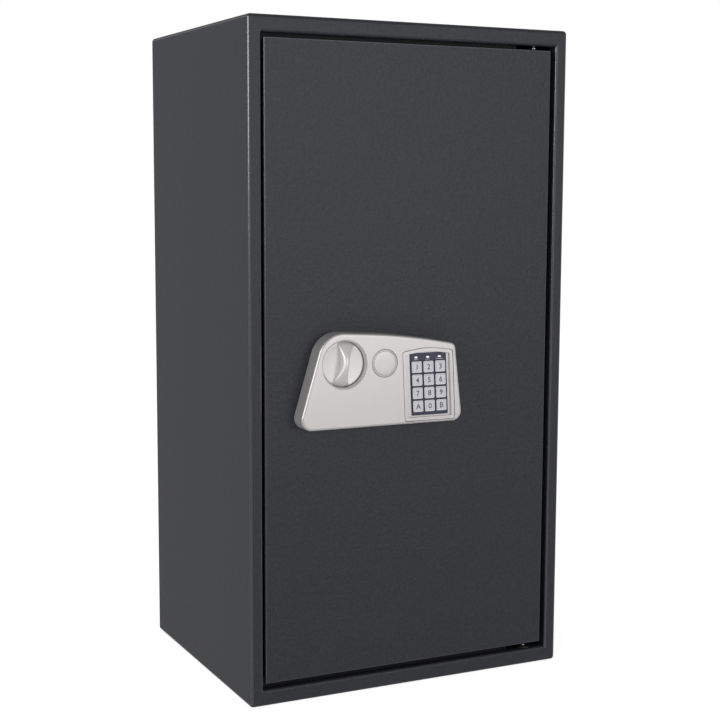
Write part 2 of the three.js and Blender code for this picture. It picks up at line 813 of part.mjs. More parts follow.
// The hollow for the knob: a flared mouth, then straight walls down to its floor.
function knobRecessGeometry() {
  return turned([
    [0, housingFront - 1],
    [knobRecess, housingFront - 1],
    [knobRecess, housingFront],
    [knobBore, knobRim],
    [knobBore, housingFront + knob.floorDepth],
    [0, housingFront + knob.floorDepth],
  ]);
}

// A flat disc with a crowned, waisted grip across it and a socket behind for the spindle.
function knobGeometry() {
  const disc = turned([
    [0, knobRim],
    [knob.radius - knob.edge, knobRim],
    [knob.radius, knobRim + knob.edge],
    [knob.radius, knobBack],
    [0, knobBack],
  ]);
  const half = Math.sqrt(knob.radius ** 2 - knob.gripEnd ** 2);
  const waist = 2 * knob.gripWaist - knob.gripEnd;
  const outline = new THREE.Shape();
  outline.moveTo(-knob.gripEnd, -half);
  outline.lineTo(knob.gripEnd, -half);
  outline.quadraticCurveTo(waist, 0, knob.gripEnd, half);
  outline.lineTo(-knob.gripEnd, half);
  outline.quadraticCurveTo(-waist, 0, -knob.gripEnd, -half);
  const crown = knobRim - knob.gripHeight;
  const crownRadius = (half ** 2 + knob.gripHeight ** 2) / (2 * knob.gripHeight);
  const blank = frontPrism(outline, crown - 1, knobRim + knob.edge, 8);
  const curve = rod("x", crownRadius, [-knob.radius, knob.radius], [crown + crownRadius, 0], 72);
  const grip = common(blank, curve).rotateY(THREE.MathUtils.degToRad(knob.gripTilt));
  const seat = [knobBack - spindle.seat, knobBack + 1];
  return cut(join(disc, grip), rod("y", spindle.radius + clearance, seat, [0, 0], 24));
}

function spindleGeometry() {
  const seatEnd = knobBack - spindle.seat + clearance;
  return rod("y", spindle.radius, [seatEnd, barFront - cam.play], [0, 0], 24);
}

function camDiscGeometry() {
  const discBack = barFront - cam.play;
  const discFront = discBack - cam.thickness;
  const disc = rod("y", cam.radius, [discFront, discBack], [0, 0], 40);
  const pinPlace = [camPinPath * Math.cos(camPinRest), camPinPath * Math.sin(camPinRest)];
  const drivePin = rod("y", cam.pinRadius, [discBack - 1, barBack + 1], pinPlace, 20);
  const bore = rod("y", spindle.radius + clearance, [discFront - 1, discBack + 1], [0, 0], 24);
  return cut(join(disc, drivePin), bore);
}

function capGeometry() {
  const face = housingFront;
  const seat = housingFront + cap.recessDepth - clearance;
  const inside = cap.skirtRadius - cap.skirtWall;
  return turned([
    [0, face],
    [cap.radius - 0.6, face],
    [cap.radius, face + 0.6],
    [cap.radius, seat],
    [cap.skirtRadius, seat],
    [cap.skirtRadius, seat + cap.skirtDepth],
    [inside, seat + cap.skirtDepth],
    [inside, seat],
    [0, seat],
  ], 40);
}

function emergencyCaseGeometry() {
  const caseFront = housingFront + emergency.caseFront;
  const caseBack = caseFront + emergency.caseLength;
  const barrel = rod("y", emergency.caseRadius, [caseFront, caseBack], [0, 0], 32);
  const bore = rod("y", emergency.plugRadius + runningGap, [caseFront - 1, caseBack + 1], [0, 0], 24);
  return cut(barrel, bore);
}

function emergencyPlugGeometry() {
  const caseFront = housingFront + emergency.caseFront;
  const leverFront = caseFront + emergency.caseLength + runningGap;
  const leverBack = leverFront + emergency.leverSheet;
  const plug = rod("y", emergency.plugRadius, [caseFront, leverBack], [0, 0], 24);
  const half = emergency.leverWidth / 2;
  const lever = block([-half, half], [leverFront, leverBack], [-emergency.leverLength, 0]);
  const [wide, tall, deep] = emergency.keyway;
  const keyway = block([-wide / 2, wide / 2], [caseFront - 1, caseFront + deep], [-tall / 2, tall / 2]);
  return cut(join(plug, lever), keyway);
}

function keypadPlateGeometry() {
  const [wide, tall] = plateSize;
  const plate = frontPrism(leaningOutline(wide, tall, 0.8), plateFront, plateBack, 2);
  const deep = [plateFront - 1, plateBack + 1];
  const half = key.stem / 2 + runningGap;
  const holes = keyPlaces().map(([x, z]) => block([x - half, x + half], deep, [z - half, z + half]));
  const lights = ledPlaces().map(([x, z]) => ledBar(deep[0], deep[1], clearance).translate(x, 0, z));
  return cut(plate, ...holes, ...lights);
}

function keyPlaces() {
  return keyNames.map((_, i) => {
    const z = keyRow(Math.floor(i / 3));
    return [((i % 3) - 1) * keyPitch[0] - pad.lean * z, z];
  });
}

function ledPlaces() {
  const z = keyRow(0) + key.size / 2 + led.aboveKeys;
  return [-1, 0, 1].map((column) => [column * keyPitch[0] - pad.lean * z, z]);
}

function ledBar(y0, y1, grow = 0) {
  const lens = rod("y", 1, [y0, y1], [0, 0], 16);
  return lens.scale(led.halfWidth + grow, 1, led.halfHeight + grow);
}

function keyGeometry() {
  const outline = leaningOutline(key.size, key.size, key.cornerRadius);
  const capShape = frontPrism(outline, keyBack - key.thickness, keyBack, 3);
  const half = key.stem / 2;
  const stemEnd = plateBack - clearance;
  const stem = block([-half, half], [keyBack - 1, stemEnd], [-half, half]);
  return join(capShape, stem);
}

function keypadBoardGeometry() {
  const [wide, tall] = plateSize.map((size) => size + 2 * pad.boardMargin);
  const y0 = housingFront + pad.recessDepth + housing.wall + clearance;
  return frontPrism(leaningOutline(wide, tall, 1), y0, y0 + pad.boardThickness, 2);
}

function buildLock(doorGroup, names) {
  const lock = partsGroup("lock", knobAxis.x, 0, knobAxis.z);
  doorGroup.add(lock);
  add(lock, "lock_housing", housingGeometry(), silverPlastic);
  const keypad = partsGroup("keypad", padPlace[0], 0, padPlace[1] + pad.rise);
  lock.add(keypad);
  add(keypad, "keypad_plate", keypadPlateGeometry(), navyPlastic);
  add(keypad, "keypad_board", keypadBoardGeometry(), greenBoard);
  ledPlaces().forEach(([x, z], i) => {
    const lens = add(keypad, `led_${names[i]}`, ledBar(plateFront - led.proud, plateBack), clearLens);
    lens.position.set(x, 0, z);
  });
  keyPlaces().forEach(([x, z], i) => {
    add(keypad, `key_${keyNames[i]}`, keyGeometry(), keyPlastic).position.set(x, 0, z);
  });
  add(lock, "knob", knobGeometry(), silverPlastic);
  add(lock, "spindle", spindleGeometry(), turnedSteel);
  add(lock, "cam_disc", camDiscGeometry(), zincPlate);
  const emergencyLock = partsGroup("emergency_lock", capPlace[0], 0, capPlace[1]);
  lock.add(emergencyLock);
  add(emergencyLock, "emergency_lock_case", emergencyCaseGeometry(), brassMetal);
  add(emergencyLock, "emergency_plug", emergencyPlugGeometry(), brassMetal);
  add(emergencyLock, "cover_cap", capGeometry(), silverPlastic);
  return lock;
}

// ------------------------------------------------ solenoid, battery and circuit

function solenoidCaseGeometry() {
  const [wide, tall] = solenoid.size;
  const top = -bar.wingHalfHeight - solenoid.fromBar;
  const low = top - tall;
  const depths = [leaf.back + clearance, boltY + solenoid.behindPlunger];
  const body = block([-wide / 2, wide / 2], depths, [low, top]);
  const bore = rod("z", solenoid.plungerRadius + runningGap, [low + solenoid.floor, top + 1], [0, boltY], 20);
  return cut(body, bore);
}

function plungerGeometry() {
  const tip = -bar.wingHalfHeight - solenoid.restGap;
  return rod("z", solenoid.plungerRadius, [tip - solenoid.plungerLength, tip], [0, boltY], 20);
}

function batteryBoxGeometry() {
  const [wide, tall, deep] = battery.inside;
  const rim = coverBox.face - mechanismCover.sheet - clearance;
  const w = wide / 2;
  const t = tall / 2;
  const wall = battery.wall;
  const outside = block([-w - wall, w + wall], [rim - deep - wall, rim], [-t - wall, t + wall]);
  return cut(outside, block([-w, w], [rim - deep, rim + 1], [-t, t]));
}

function batteryCoverGeometry() {
  const [wide, tall, thick] = battery.cover;
  const { halfWidth, fromEdge, pitch, width, height } = battery.ribs;
  const y0 = coverBox.face + clearance;
  const y1 = y0 + thick;
  const plate = block([-wide / 2, wide / 2], [y0, y1], [-tall / 2, tall / 2]);
  const ribs = [0, 1, 2].map((i) => {
    const z = -tall / 2 + fromEdge + i * pitch;
    return block([-halfWidth, halfWidth], [y1 - height / 2, y1 + height], [z, z + width]);
  });
  return join(plate, ...ribs);
}

function resetButtonGeometry() {
  const tip = coverBox.face + resetButton.proud;
  return turned([
    [0, tip - resetButton.length],
    [resetButton.radius, tip - resetButton.length],
    [resetButton.radius, tip - 0.6],
    [resetButton.radius - 0.6, tip],
    [0, tip],
  ], 24);
}

function controlBoardGeometry() {
  const [wide, tall, thick] = board.size;
  const y0 = leaf.back + board.lift;
  return block([-wide / 2, wide / 2], [y0, y0 + thick], [-tall / 2, tall / 2]);
}

function buildElectrics(lock) {
  const drive = partsGroup("solenoid", solenoid.offsetX, 0, 0);
  lock.add(drive);
  add(drive, "solenoid_case", solenoidCaseGeometry(), zincPlate);
  add(drive, "solenoid_plunger", plungerGeometry(), turnedSteel);
  const power = partsGroup("power", battery.place[0], 0, battery.place[1]);
  lock.add(power);
  add(power, "battery_box", batteryBoxGeometry(), blackPlastic);
  add(power, "battery_cover", batteryCoverGeometry(), blackPlastic);
  const [boardX, boardZ] = board.place;
  add(lock, "control_board", controlBoardGeometry(), greenBoard).position.set(boardX, 0, boardZ);
  const [buttonX, buttonZ] = resetButton.place;
  add(lock, "reset_button", resetButtonGeometry(), redPlastic).position.set(buttonX, 0, buttonZ);
}

// --------------------------------------------------------------------- assembly

const safe = partsGroup("security_cabinet");
const doorGroup = partsGroup("door");
const boltwork = partsGroup("boltwork");
buildCabinet(safe);
buildDoor(doorGroup);
buildBoltwork(boltwork);
const lock = buildLock(doorGroup, ["left", "middle", "right"]);
buildElectrics(lock);
doorGroup.add(boltwork);
safe.add(doorGroup);

export default safe;
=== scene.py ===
# A steel security cabinet with a keypad lock on its door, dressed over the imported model.
# Sizes in the dictionaries are millimetres; X right, Y into the cabinet, Z up.
import json
import math

import bmesh
import bpy
from mathutils import Matrix, Vector


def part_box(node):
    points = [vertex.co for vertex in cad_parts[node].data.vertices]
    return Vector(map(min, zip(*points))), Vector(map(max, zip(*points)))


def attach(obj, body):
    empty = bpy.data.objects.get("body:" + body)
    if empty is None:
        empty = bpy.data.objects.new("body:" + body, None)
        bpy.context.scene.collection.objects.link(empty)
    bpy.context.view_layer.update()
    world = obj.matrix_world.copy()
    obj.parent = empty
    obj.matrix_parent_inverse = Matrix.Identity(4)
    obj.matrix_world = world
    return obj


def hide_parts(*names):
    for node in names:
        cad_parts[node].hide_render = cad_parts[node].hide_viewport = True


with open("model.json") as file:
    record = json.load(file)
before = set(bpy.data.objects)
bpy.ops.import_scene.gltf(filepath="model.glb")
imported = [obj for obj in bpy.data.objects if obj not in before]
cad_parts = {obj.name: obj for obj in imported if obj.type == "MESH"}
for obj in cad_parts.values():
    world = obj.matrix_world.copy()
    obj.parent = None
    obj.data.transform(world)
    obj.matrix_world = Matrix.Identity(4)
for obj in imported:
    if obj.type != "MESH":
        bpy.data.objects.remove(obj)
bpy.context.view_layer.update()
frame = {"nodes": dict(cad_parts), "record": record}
mm = 0.001

stageSetup = {
    "eye": (-873.19, -1813.78, 653.21),
    "forward": (0.43537, 0.89203, -0.12142),
    "up": (0.04949, 0.11095, 0.99259),
    "lens": 72.983,  # on a 36 mm wide sensor
    "roomLight": 0.40,
    "floorSize": 60.0,  # metres
}


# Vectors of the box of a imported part, in millimetres.
def partBox(name):
    low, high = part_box(name)
    return low / mm, high / mm


def partCentre(name):
    low, high = partBox(name)
    return (low + high) / 2


def addNode(tree, kind, inputs):
    made = tree.nodes.new(kind)
    for key, value in inputs.items():
        if isinstance(value, bpy.types.NodeSocket):
            tree.links.new(value, made.inputs[key])
        else:
            made.inputs[key].default_value = value
    return made


# Cloudy noise with grains of the given size in millimetres.
def grain(tree, size, detail=2.0, stretch=(1, 1, 1)):
    place = addNode(tree, "ShaderNodeTexCoord", {})
    spread = addNode(tree, "ShaderNodeMapping", {"Vector": place.outputs["Object"], "Scale": stretch})
    inputs = {"Vector": spread.outputs["Vector"], "Scale": 1000 / size, "Detail": detail}
    return addNode(tree, "ShaderNodeTexNoise", inputs).outputs["Fac"]


def ramp(tree, factor, dark, light):
    made = addNode(tree, "ShaderNodeValToRGB", {"Fac": factor})
    for element, position, colour in zip(made.color_ramp.elements, (0.35, 0.65), (dark, light)):
        element.position = position
        element.color = (*colour, 1)
    return made.outputs["Color"]


def spanned(tree, factor, low, high):
    made = addNode(tree, "ShaderNodeMapRange", {"Value": factor, "To Min": low, "To Max": high})
    return made.outputs["Result"]


# A chain of bumps: pairs of a height socket and its depth in millimetres.
def relief(tree, shader, layers):
    normal = None
    for height, depth in layers:
        inputs = {"Height": height, "Distance": depth * mm, "Strength": 1.0}
        if normal:
            inputs["Normal"] = normal
        normal = addNode(tree, "ShaderNodeBump", inputs).outputs["Normal"]
    tree.links.new(normal, shader.inputs["Normal"])


# A finish whose colour and gloss drift between two values over the surface.
def finish(name, dark, light, gloss, cloud, bumps, detail=2.0, stretch=(1, 1, 1), **fixed):
    made = bpy.data.materials.new(name)
    made.use_nodes = True
    tree = made.node_tree
    shader = tree.nodes["Principled BSDF"]
    colour = ramp(tree, grain(tree, cloud, detail, stretch), dark, light)
    tree.links.new(colour, shader.inputs["Base Color"])
    rough = spanned(tree, grain(tree, cloud * 0.6, 3.0, stretch), *gloss)
    tree.links.new(rough, shader.inputs["Roughness"])
    relief(tree, shader, [(grain(tree, size, 2.0, stretch), depth) for size, depth in bumps])
    for key, value in fixed.items():
        shader.inputs[key.replace("_", " ")].default_value = value
    return made


anthracite = ((0.0182, 0.0196, 0.0258), (0.0252, 0.0266, 0.0335))
powderCoat = finish(
    "powderCoat", *anthracite, (0.36, 0.46), 3.2, [(4.6, 0.32), (1.7, 0.15), (0.7, 0.05)],
    Specular_IOR_Level=0.36
)
# the film is thinner and glossier where it runs over a bend
bendCoat = finish(
    "bendCoat", *anthracite, (0.19, 0.26), 3.2, [(1.7, 0.12), (0.7, 0.05)], Specular_IOR_Level=1.0,
    Coat_Weight=0.8, Coat_Roughness=0.22
)
innerCoat = finish(
    "innerCoat", (0.0175, 0.0185, 0.022), (0.0225, 0.0235, 0.0275), (0.44, 0.54), 3.2,
    [(4.6, 0.16), (1.8, 0.12)], Specular_IOR_Level=0.36
)
# a much darker copy of the body paint on the door stops: painted shade for the deep gap round the door
shadedStopCoat = finish(
    "shadedStopCoat", (0.0065, 0.0068, 0.008), (0.0085, 0.009, 0.0105), (0.5, 0.6), 3.2, [(1.8, 0.1)],
    Specular_IOR_Level=0.2
)
zincPlate = finish(
    "zincPlate", (0.42, 0.43, 0.44), (0.55, 0.56, 0.56), (0.26, 0.42), 6.0, [(0.5, 0.01)], 3.0,
    (1, 1, 0.15), Metallic=1.0
)
turnedSteel = finish(
    "turnedSteel", (0.52, 0.53, 0.54), (0.64, 0.64, 0.64), (0.16, 0.28), 3.0, [(0.35, 0.006)], 3.0,
    (0.2, 1, 1), Metallic=1.0
)
# a darker copy of the turned steel on the hinge pins: painted shade for the pins seen in the door gaps
shadedPinSteel = finish(
    "shadedPinSteel", (0.36, 0.36, 0.36), (0.48, 0.48, 0.48), (0.24, 0.34), 3.0, [(0.35, 0.006)], 3.0,
    (1, 1, 0.2), Metallic=1.0
)
silverLacquer = finish(
    "silverLacquer", (0.585, 0.565, 0.558), (0.66, 0.641, 0.634), (0.33, 0.40), 0.7, [(0.5, 0.006)],
    Metallic=0.68
)
# a lighter copy of the silver lacquer on the knob: painted light for the knob sunk in its bowl
litKnobLacquer = finish(
    "litKnobLacquer", (0.74, 0.728, 0.722), (0.80, 0.788, 0.782), (0.42, 0.50), 0.7, [(0.5, 0.006)],
    Metallic=0.7
)
keySilver = finish(
    "keySilver", (0.50, 0.495, 0.54), (0.60, 0.59, 0.63), (0.3, 0.38), 1.2, [(0.5, 0.006)], Metallic=0.25
)
navyPanel = finish(
    "navyPanel", (0.026, 0.026, 0.055), (0.036, 0.036, 0.070), (0.35, 0.45), 1.5, [(0.4, 0.012)]
)
digitInk = finish("digitInk", (0.085, 0.085, 0.11), (0.12, 0.12, 0.15), (0.5, 0.6), 1.0, [(0.3, 0.004)])
markInk = finish("markInk", (0.50, 0.50, 0.56), (0.58, 0.58, 0.64), (0.5, 0.6), 1.0, [(0.3, 0.004)])
lampLens = finish(
    "lampLens", (0.88, 0.89, 0.94), (0.96, 0.97, 1.0), (0.12, 0.2), 1.5, [(0.6, 0.01)],
    Emission_Color=(0.95, 0.97, 1.0, 1.0), Emission_Strength=0.25
)
blackPlastic = finish(
    "blackPlastic", (0.012, 0.012, 0.013), (0.018, 0.018, 0.019), (0.42, 0.55), 1.2, [(0.6, 0.03)]
)
blackRubber = finish(
    "blackRubber", (0.010, 0.010, 0.010), (0.016, 0.016, 0.016), (0.65, 0.8), 1.6, [(0.8, 0.04)]
)
redPlastic = finish("redPlastic", (0.42, 0.015, 0.015), (0.50, 0.025, 0.02), (0.3, 0.4), 1.2, [(0.6, 0.01)])
greenBoard = finish("greenBoard", (0.012, 0.085, 0.035), (0.02, 0.12, 0.05), (0.28, 0.4), 5.0, [(1.5, 0.02)])
brass = finish("brass", (0.50, 0.35, 0.13), (0.60, 0.43, 0.18), (0.2, 0.34), 2.5, [(0.4, 0.01)], Metallic=1.0)
cellSleeve = finish("cellSleeve", (0.05, 0.09, 0.16), (0.07, 0.12, 0.20), (0.2, 0.3), 4.0, [(0.8, 0.01)])
feltWool = finish(
    "feltWool", (0.050, 0.051, 0.055), (0.095, 0.097, 0.104), (0.9, 1.0), 1.8, [(0.9, 0.5), (3.0, 0.5)],
    5.0, Sheen_Weight=0.35, Sheen_Roughness=0.6
)
floorPaper = finish(
    "floorPaper", (0.84, 0.84, 0.84), (0.86, 0.86, 0.86), (0.85, 0.95), 60.0, [(3.0, 0.05)],
    Emission_Color=(1, 1, 1, 1), Emission_Strength=0.72
)
print("finishes ready")


# Smooth faces with sharp lines where two faces meet at more than the given angle.
def softShade(bm, angle=32):
    limit = math.radians(angle)
    for face in bm.faces:
        face.smooth = True
    for edge in bm.edges:
        edge.smooth = len(edge.link_faces) != 2 or edge.calc_face_angle(0) < limit


def addObject(name, data):
    made = bpy.data.objects.new(name, data)
    bpy.context.scene.collection.objects.link(made)
    return made


def meshOf(name, bm):
    mesh = bpy.data.meshes.new(name)
    bm.to_mesh(mesh)
    bm.free()
    return mesh


# The mesh of an object as it stands with its modifiers.
def evaluatedMesh(thing):
    bpy.context.view_layer.update()
    evaluated = thing.evaluated_get(bpy.context.evaluated_depsgraph_get())
    return bpy.data.meshes.new_from_object(evaluated)


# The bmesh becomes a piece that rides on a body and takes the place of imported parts.
def makePiece(name, bm, coat, body, slotName, replaced=(), angle=32, weighted=True):
    bmesh.ops.remove_doubles(bm, verts=bm.verts, dist=1e-6)
    bmesh.ops.recalc_face_normals(bm, faces=bm.faces)
    softShade(bm, angle)
    piece = addObject(name, meshOf(name, bm))
    piece.data.materials.append(coat)
    if weighted:
        even = piece.modifiers.new("evenShade", "WEIGHTED_NORMAL")
        even.keep_sharp = True
        even.weight = 90
    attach(piece, body)
    if replaced:
        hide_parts(*replaced)
    return piece


# Gives the faces of a folded sheet's upright bends their own finish.
def coatBends(piece, coat):
    piece.data.materials.append(coat)
    for face in piece.data.polygons:
        leans = max(abs(part) for part in face.normal) < 0.99
        if leans and abs(face.normal.z) < 0.3:
            face.material_index = 1


def addRing(bm, points):
    return [bm.verts.new(Vector(point) * mm) for point in points]


# A strip of faces between two rings of vertices.
def bridge(bm, low, high):
    for i in range(len(low)):
        j = (i + 1) % len(low)
        bm.faces.new((low[i], low[j], high[j], high[i]))


# Skin between rings of equal length; the ends may be closed.
def addLoft(bm, rings, capStart=False, capEnd=False):
    rows = [addRing(bm, ring) for ring in rings]
    for low, high in zip(rows, rows[1:]):
        bridge(bm, low, high)
    if capStart:
        bm.faces.new(rows[0])
    if capEnd:
        bm.faces.new(rows[-1])
    return rows


# Quarter-round steps: pairs of how far in and how far forward, from the side to the face.
def roundSteps(radius, steps):
    angles = [math.pi / 2 * k / steps for k in range(steps + 1)]
    return [(radius * (1 - math.cos(a)), radius * math.sin(a)) for a in angles]


# The same for the lip of a hole, from the face into it: how far out and how far back.
def lipSteps(radius, steps):
    angles = [math.pi / 2 * k / steps for k in range(steps, -1, -1)]
    return [(radius * (1 - math.cos(a)), radius * (1 - math.sin(a))) for a in angles]


def turned(spoke, angle):
    cos, sin = math.cos(angle), math.sin(angle)
    return spoke.x * cos - spoke.y * sin, spoke.x * sin + spoke.y * cos


def roundedLoop(corners, radii, steps=8):
    loop = []
    for i, corner in enumerate(corners):
        here = Vector(corner)
        toBefore = (Vector(corners[i - 1]) - here).normalized()
        toAfter = (Vector(corners[(i + 1) % len(corners)]) - here).normalized()
        half = math.acos(max(-1, min(1, toBefore.dot(toAfter)))) / 2
        centre = here + (toBefore + toAfter).normalized() * (radii[i] / math.sin(half))
        start = here + toBefore * (radii[i] / math.tan(half)) - centre
        sweep = math.pi - 2 * half
        for k in range(steps + 1):
            x, y = turned(start, sweep * k / steps)
            loop.append((centre.x + x, centre.y + y))
    return loop


def insetCorners(corners, inset):
    lines = []
    for i, corner in enumerate(corners):
        here = Vector(corner)
        along = (Vector(corners[(i + 1) % len(corners)]) - here).normalized()
        lines.append((here + Vector((-along.y, along.x)) * inset, along))
    moved = []
    for i, (start, along) in enumerate(lines):
        oldStart, oldAlong = lines[i - 1]
        gap = start - oldStart
        cross = oldAlong.x * along.y - oldAlong.y * along.x
        reach = (gap.x * along.y - gap.y * along.x) / cross
        moved.append(tuple(oldStart + oldAlong * reach))
    return moved


def insetLoop(corners, radii, inset, steps=8):
    shrunk = [max(radius - inset, 0.05) for radius in radii]
    return roundedLoop(insetCorners(corners, inset), shrunk, steps)


def rectangleCorners(x0, x1, z0, z1):
    return [(x0, z0), (x1, z0), (x1, z1), (x0, z1)]


def boxCorners(low, high):
    return rectangleCorners(low.x, high.x, low.z, high.z)


def circleLoop(radius, sides, centre=(0, 0)):
    angles = [2 * math.pi * k / sides for k in range(sides)]
    return [(centre[0] + radius * math.cos(a), centre[1] + radius * math.sin(a)) for a in angles]


# A flat loop stood up as seen from the front, at a depth.
def stood(loop, y, centre=(0, 0)):
    return [(centre[0] + x, y, centre[1] + z) for x, z in loop]


# Rings turned round an axis: pairs of radius and position along it.
def addTurned(bm, profile, centre, axis, sides, capped=True):
    rings = []
    for radius, along in profile:
        loop = circleLoop(max(radius, 0.01), sides, centre)
        if axis == "y":
            rings.append([(u, along, v) for u, v in loop])
        elif axis == "x":
            rings.append([(along, u, v) for u, v in loop])
        else:
            rings.append([(u, v, along) for u, v in loop])
    addLoft(bm, rings, capped, capped)


def addBore(bm, radius, start, end, centre, axis="y", sides=32):
    addTurned(bm, [(radius, start), (radius, end)], centre, axis, sides)


# A piece turned round one axis; the rest is passed on to makePiece.
def makeTurned(name, profile, centre, axis, sides, *rest, capped=True):
    bm = bmesh.new()
    addTurned(bm, profile, centre, axis, sides, capped)
    return makePiece(name, bm, *rest)


# Fills the flat region between an outer row of vertices and any holes in it.
def fillBetween(bm, *rows):
    edges = []
    for row in rows:
        for i, vert in enumerate(row):
            other = row[(i + 1) % len(row)]
            edges.append(bm.edges.get((vert, other)) or bm.edges.new((vert, other)))
    bmesh.ops.triangle_fill(bm, use_beauty=True, use_dissolve=False, edges=edges)


# A block with every edge rounded.
def addBlock(bm, low, high, radius, steps=2):
    made = bmesh.ops.create_cube(bm, size=1)
    size = Vector(high) - Vector(low)
    middle = (Vector(high) + Vector(low)) / 2
    for vert in made["verts"]:
        vert.co = Vector(c * s + m for c, s, m in zip(vert.co, size, middle)) * mm
    edges = list({edge for vert in made["verts"] for edge in vert.link_edges})
    bmesh.ops.bevel(bm, geom=edges, offset=radius * mm, segments=steps, profile=0.5, affect="EDGES")


# A piece that is one rounded block; the rest is passed on to makePiece.
def makeBlock(name, low, high, radius, steps, *rest):
    bm = bmesh.new()
    addBlock(bm, low, high, radius, steps)
    return makePiece(name, bm, *rest)


# Cuts the shape that the given function puts into a bmesh out of a piece.
def cutOut(piece, fill):
    bm = bmesh.new()
    fill(bm)
    bmesh.ops.recalc_face_normals(bm, faces=bm.faces)
    cutter = addObject("cutter", meshOf("cutter", bm))
    cut = piece.modifiers.new("cut", "BOOLEAN")
    cut.operation = "DIFFERENCE"
    cut.solver = "EXACT"
    cut.object = cutter
    shade = [m for m in piece.modifiers if m.type == "WEIGHTED_NORMAL"]
    for modifier in shade:
        modifier.show_viewport = False
    result = evaluatedMesh(piece)
    piece.modifiers.remove(cut)
    old = piece.data
    piece.data = result
    result.name = piece.name
    bpy.data.meshes.remove(old)
    for modifier in shade:
        modifier.show_viewport = True
    shape = cutter.data
    bpy.data.objects.remove(cutter)
    bpy.data.meshes.remove(shape)
    shaped = bmesh.new()
    shaped.from_mesh(piece.data)
    softShade(shaped)
    shaped.to_mesh(piece.data)
    shaped.free()


def placeCamera():
    forward = Vector(stageSetup["forward"]).normalized()
    right = forward.cross(Vector(stageSetup["up"])).normalized()
    up = right.cross(forward)
    data = bpy.data.cameras.new("camera")
    data.lens = stageSetup["lens"]
    data.sensor_width = 36
    data.clip_start = 0.02
    data.clip_end = 200
    camera = addObject("camera", data)
    turn = Matrix((right, up, -forward)).transposed().to_4x4()
    camera.matrix_world = Matrix.Translation(Vector(stageSetup["eye"]) * mm) @ turn
    bpy.context.scene.camera = camera


placeCamera()
print("camera placed")

cabinet = {
    "sheet": 3.0,
    "frontBend": 5.0,  # outer radius where the sides turn into the front
    "cornerRadius": 5.0,  # corners as seen from the front
    "mouthBend": 3.6,  # outer radius where the front turns into the return
    "returnDepth": 17.0,
    "stopSheet": 2.0,
    "stopFront": 12.0,  # behind the front face
    "stopWidth": 16.0,
    "stopEnd": 26.0,  # from the hinge pin
    "pinHole": 5.5,
}
# floor and wall anchors, and the rubber plugs in their holes
anchor = {
    "reach": 110.0,  # to either side of the middle
    "wallHeight": 600.0,
    "floorDepth": 20.0,  # behind the middle
    "hole": 6.0,
    "plugNeck": 5.6,
    "plugHead": 8.0,
}
bodyLow, bodyHigh = partBox("body_shell")
frameLow, frameHigh = partBox("front_frame")
doorLow, doorHigh = partBox("door_plate")
pinCentre = partCentre("hinge_pin_top")
frontY = frameLow.y
doorway = {
    "x0": doorLow.x - 3.0,
    "x1": doorHigh.x + 8.0,
    "z0": doorLow.z - 8.0,
    "z1": doorHigh.z + 5.5,
}


def makeCabinetBody():
    backY = bodyHigh.y
    sheet = cabinet["sheet"]
    outer = boxCorners(bodyLow, bodyHigh)
    mouth = rectangleCorners(doorway["x0"], doorway["x1"], doorway["z0"], doorway["z1"])
    corner = [cabinet["cornerRadius"]] * 4
    tight = [0.6] * 4
    rings = [stood(insetLoop(outer, corner, 0.4), backY), stood(insetLoop(outer, corner, 0), backY - 0.4)]
    for inward, ahead in roundSteps(cabinet["frontBend"], 6):
        y = frontY + cabinet["frontBend"] - ahead
        rings.append(stood(insetLoop(outer, corner, inward), y))
    for inward, ahead in reversed(roundSteps(cabinet["mouthBend"], 6)):
        y = frontY + cabinet["mouthBend"] - ahead
        rings.append(stood(insetLoop(mouth, tight, -inward), y))
    endY = frontY + cabinet["returnDepth"]
    inside = frontY + sheet
    for inset, y in ((0, endY - 0.3), (-0.3, endY), (0.3 - sheet, endY), (-sheet, endY - 0.3),
                     (-sheet, inside + 0.8), (-sheet - 0.8, inside)):
        rings.append(stood(insetLoop(mouth, tight, inset), y))
    for inset, y in ((sheet + 1.0, inside), (sheet, inside + 1.0), (sheet, backY - 0.4),
                     (sheet - 0.4, backY)):
        rings.append(stood(insetLoop(outer, corner, inset), y))
    bm = bmesh.new()
    rows = addLoft(bm, rings)
    bridge(bm, rows[-1], rows[0])
    parts = ["body_shell", "front_frame"]
    body = makePiece("cabinetBody", bm, powderCoat, "cabinet", "anthracite_paint", parts)

    def holes(cutter):
        for side in (-1, 1):
            place = (side * anchor["reach"], anchor["floorDepth"])
            addBore(cutter, anchor["hole"], -2, 5, place, "z")
        for z in (doorway["z0"] - 5, doorway["z1"] - 1):
            addBore(cutter, cabinet["pinHole"], z, z + 6, (pinCentre.x, pinCentre.y), "z")

    cutOut(body, holes)
    coatBends(body, bendCoat)


def makeDoorStops():
    bm = bmesh.new()
    y0 = frontY + cabinet["stopFront"]
    x0, x1 = doorway["x0"] - 1, pinCentre.x - cabinet["stopEnd"]
    wide = cabinet["stopWidth"]
    addBlock(bm, (x0, y0, doorway["z1"] - wide), (x1, y0 + cabinet["stopSheet"], doorway["z1"] + 1), 0.5)
    addBlock(bm, (x0, y0, doorway["z0"] - 1), (x1, y0 + cabinet["stopSheet"], doorway["z0"] + wide), 0.5)
    makePiece("doorStops", bm, shadedStopCoat, "cabinet", "anthracite_paint")


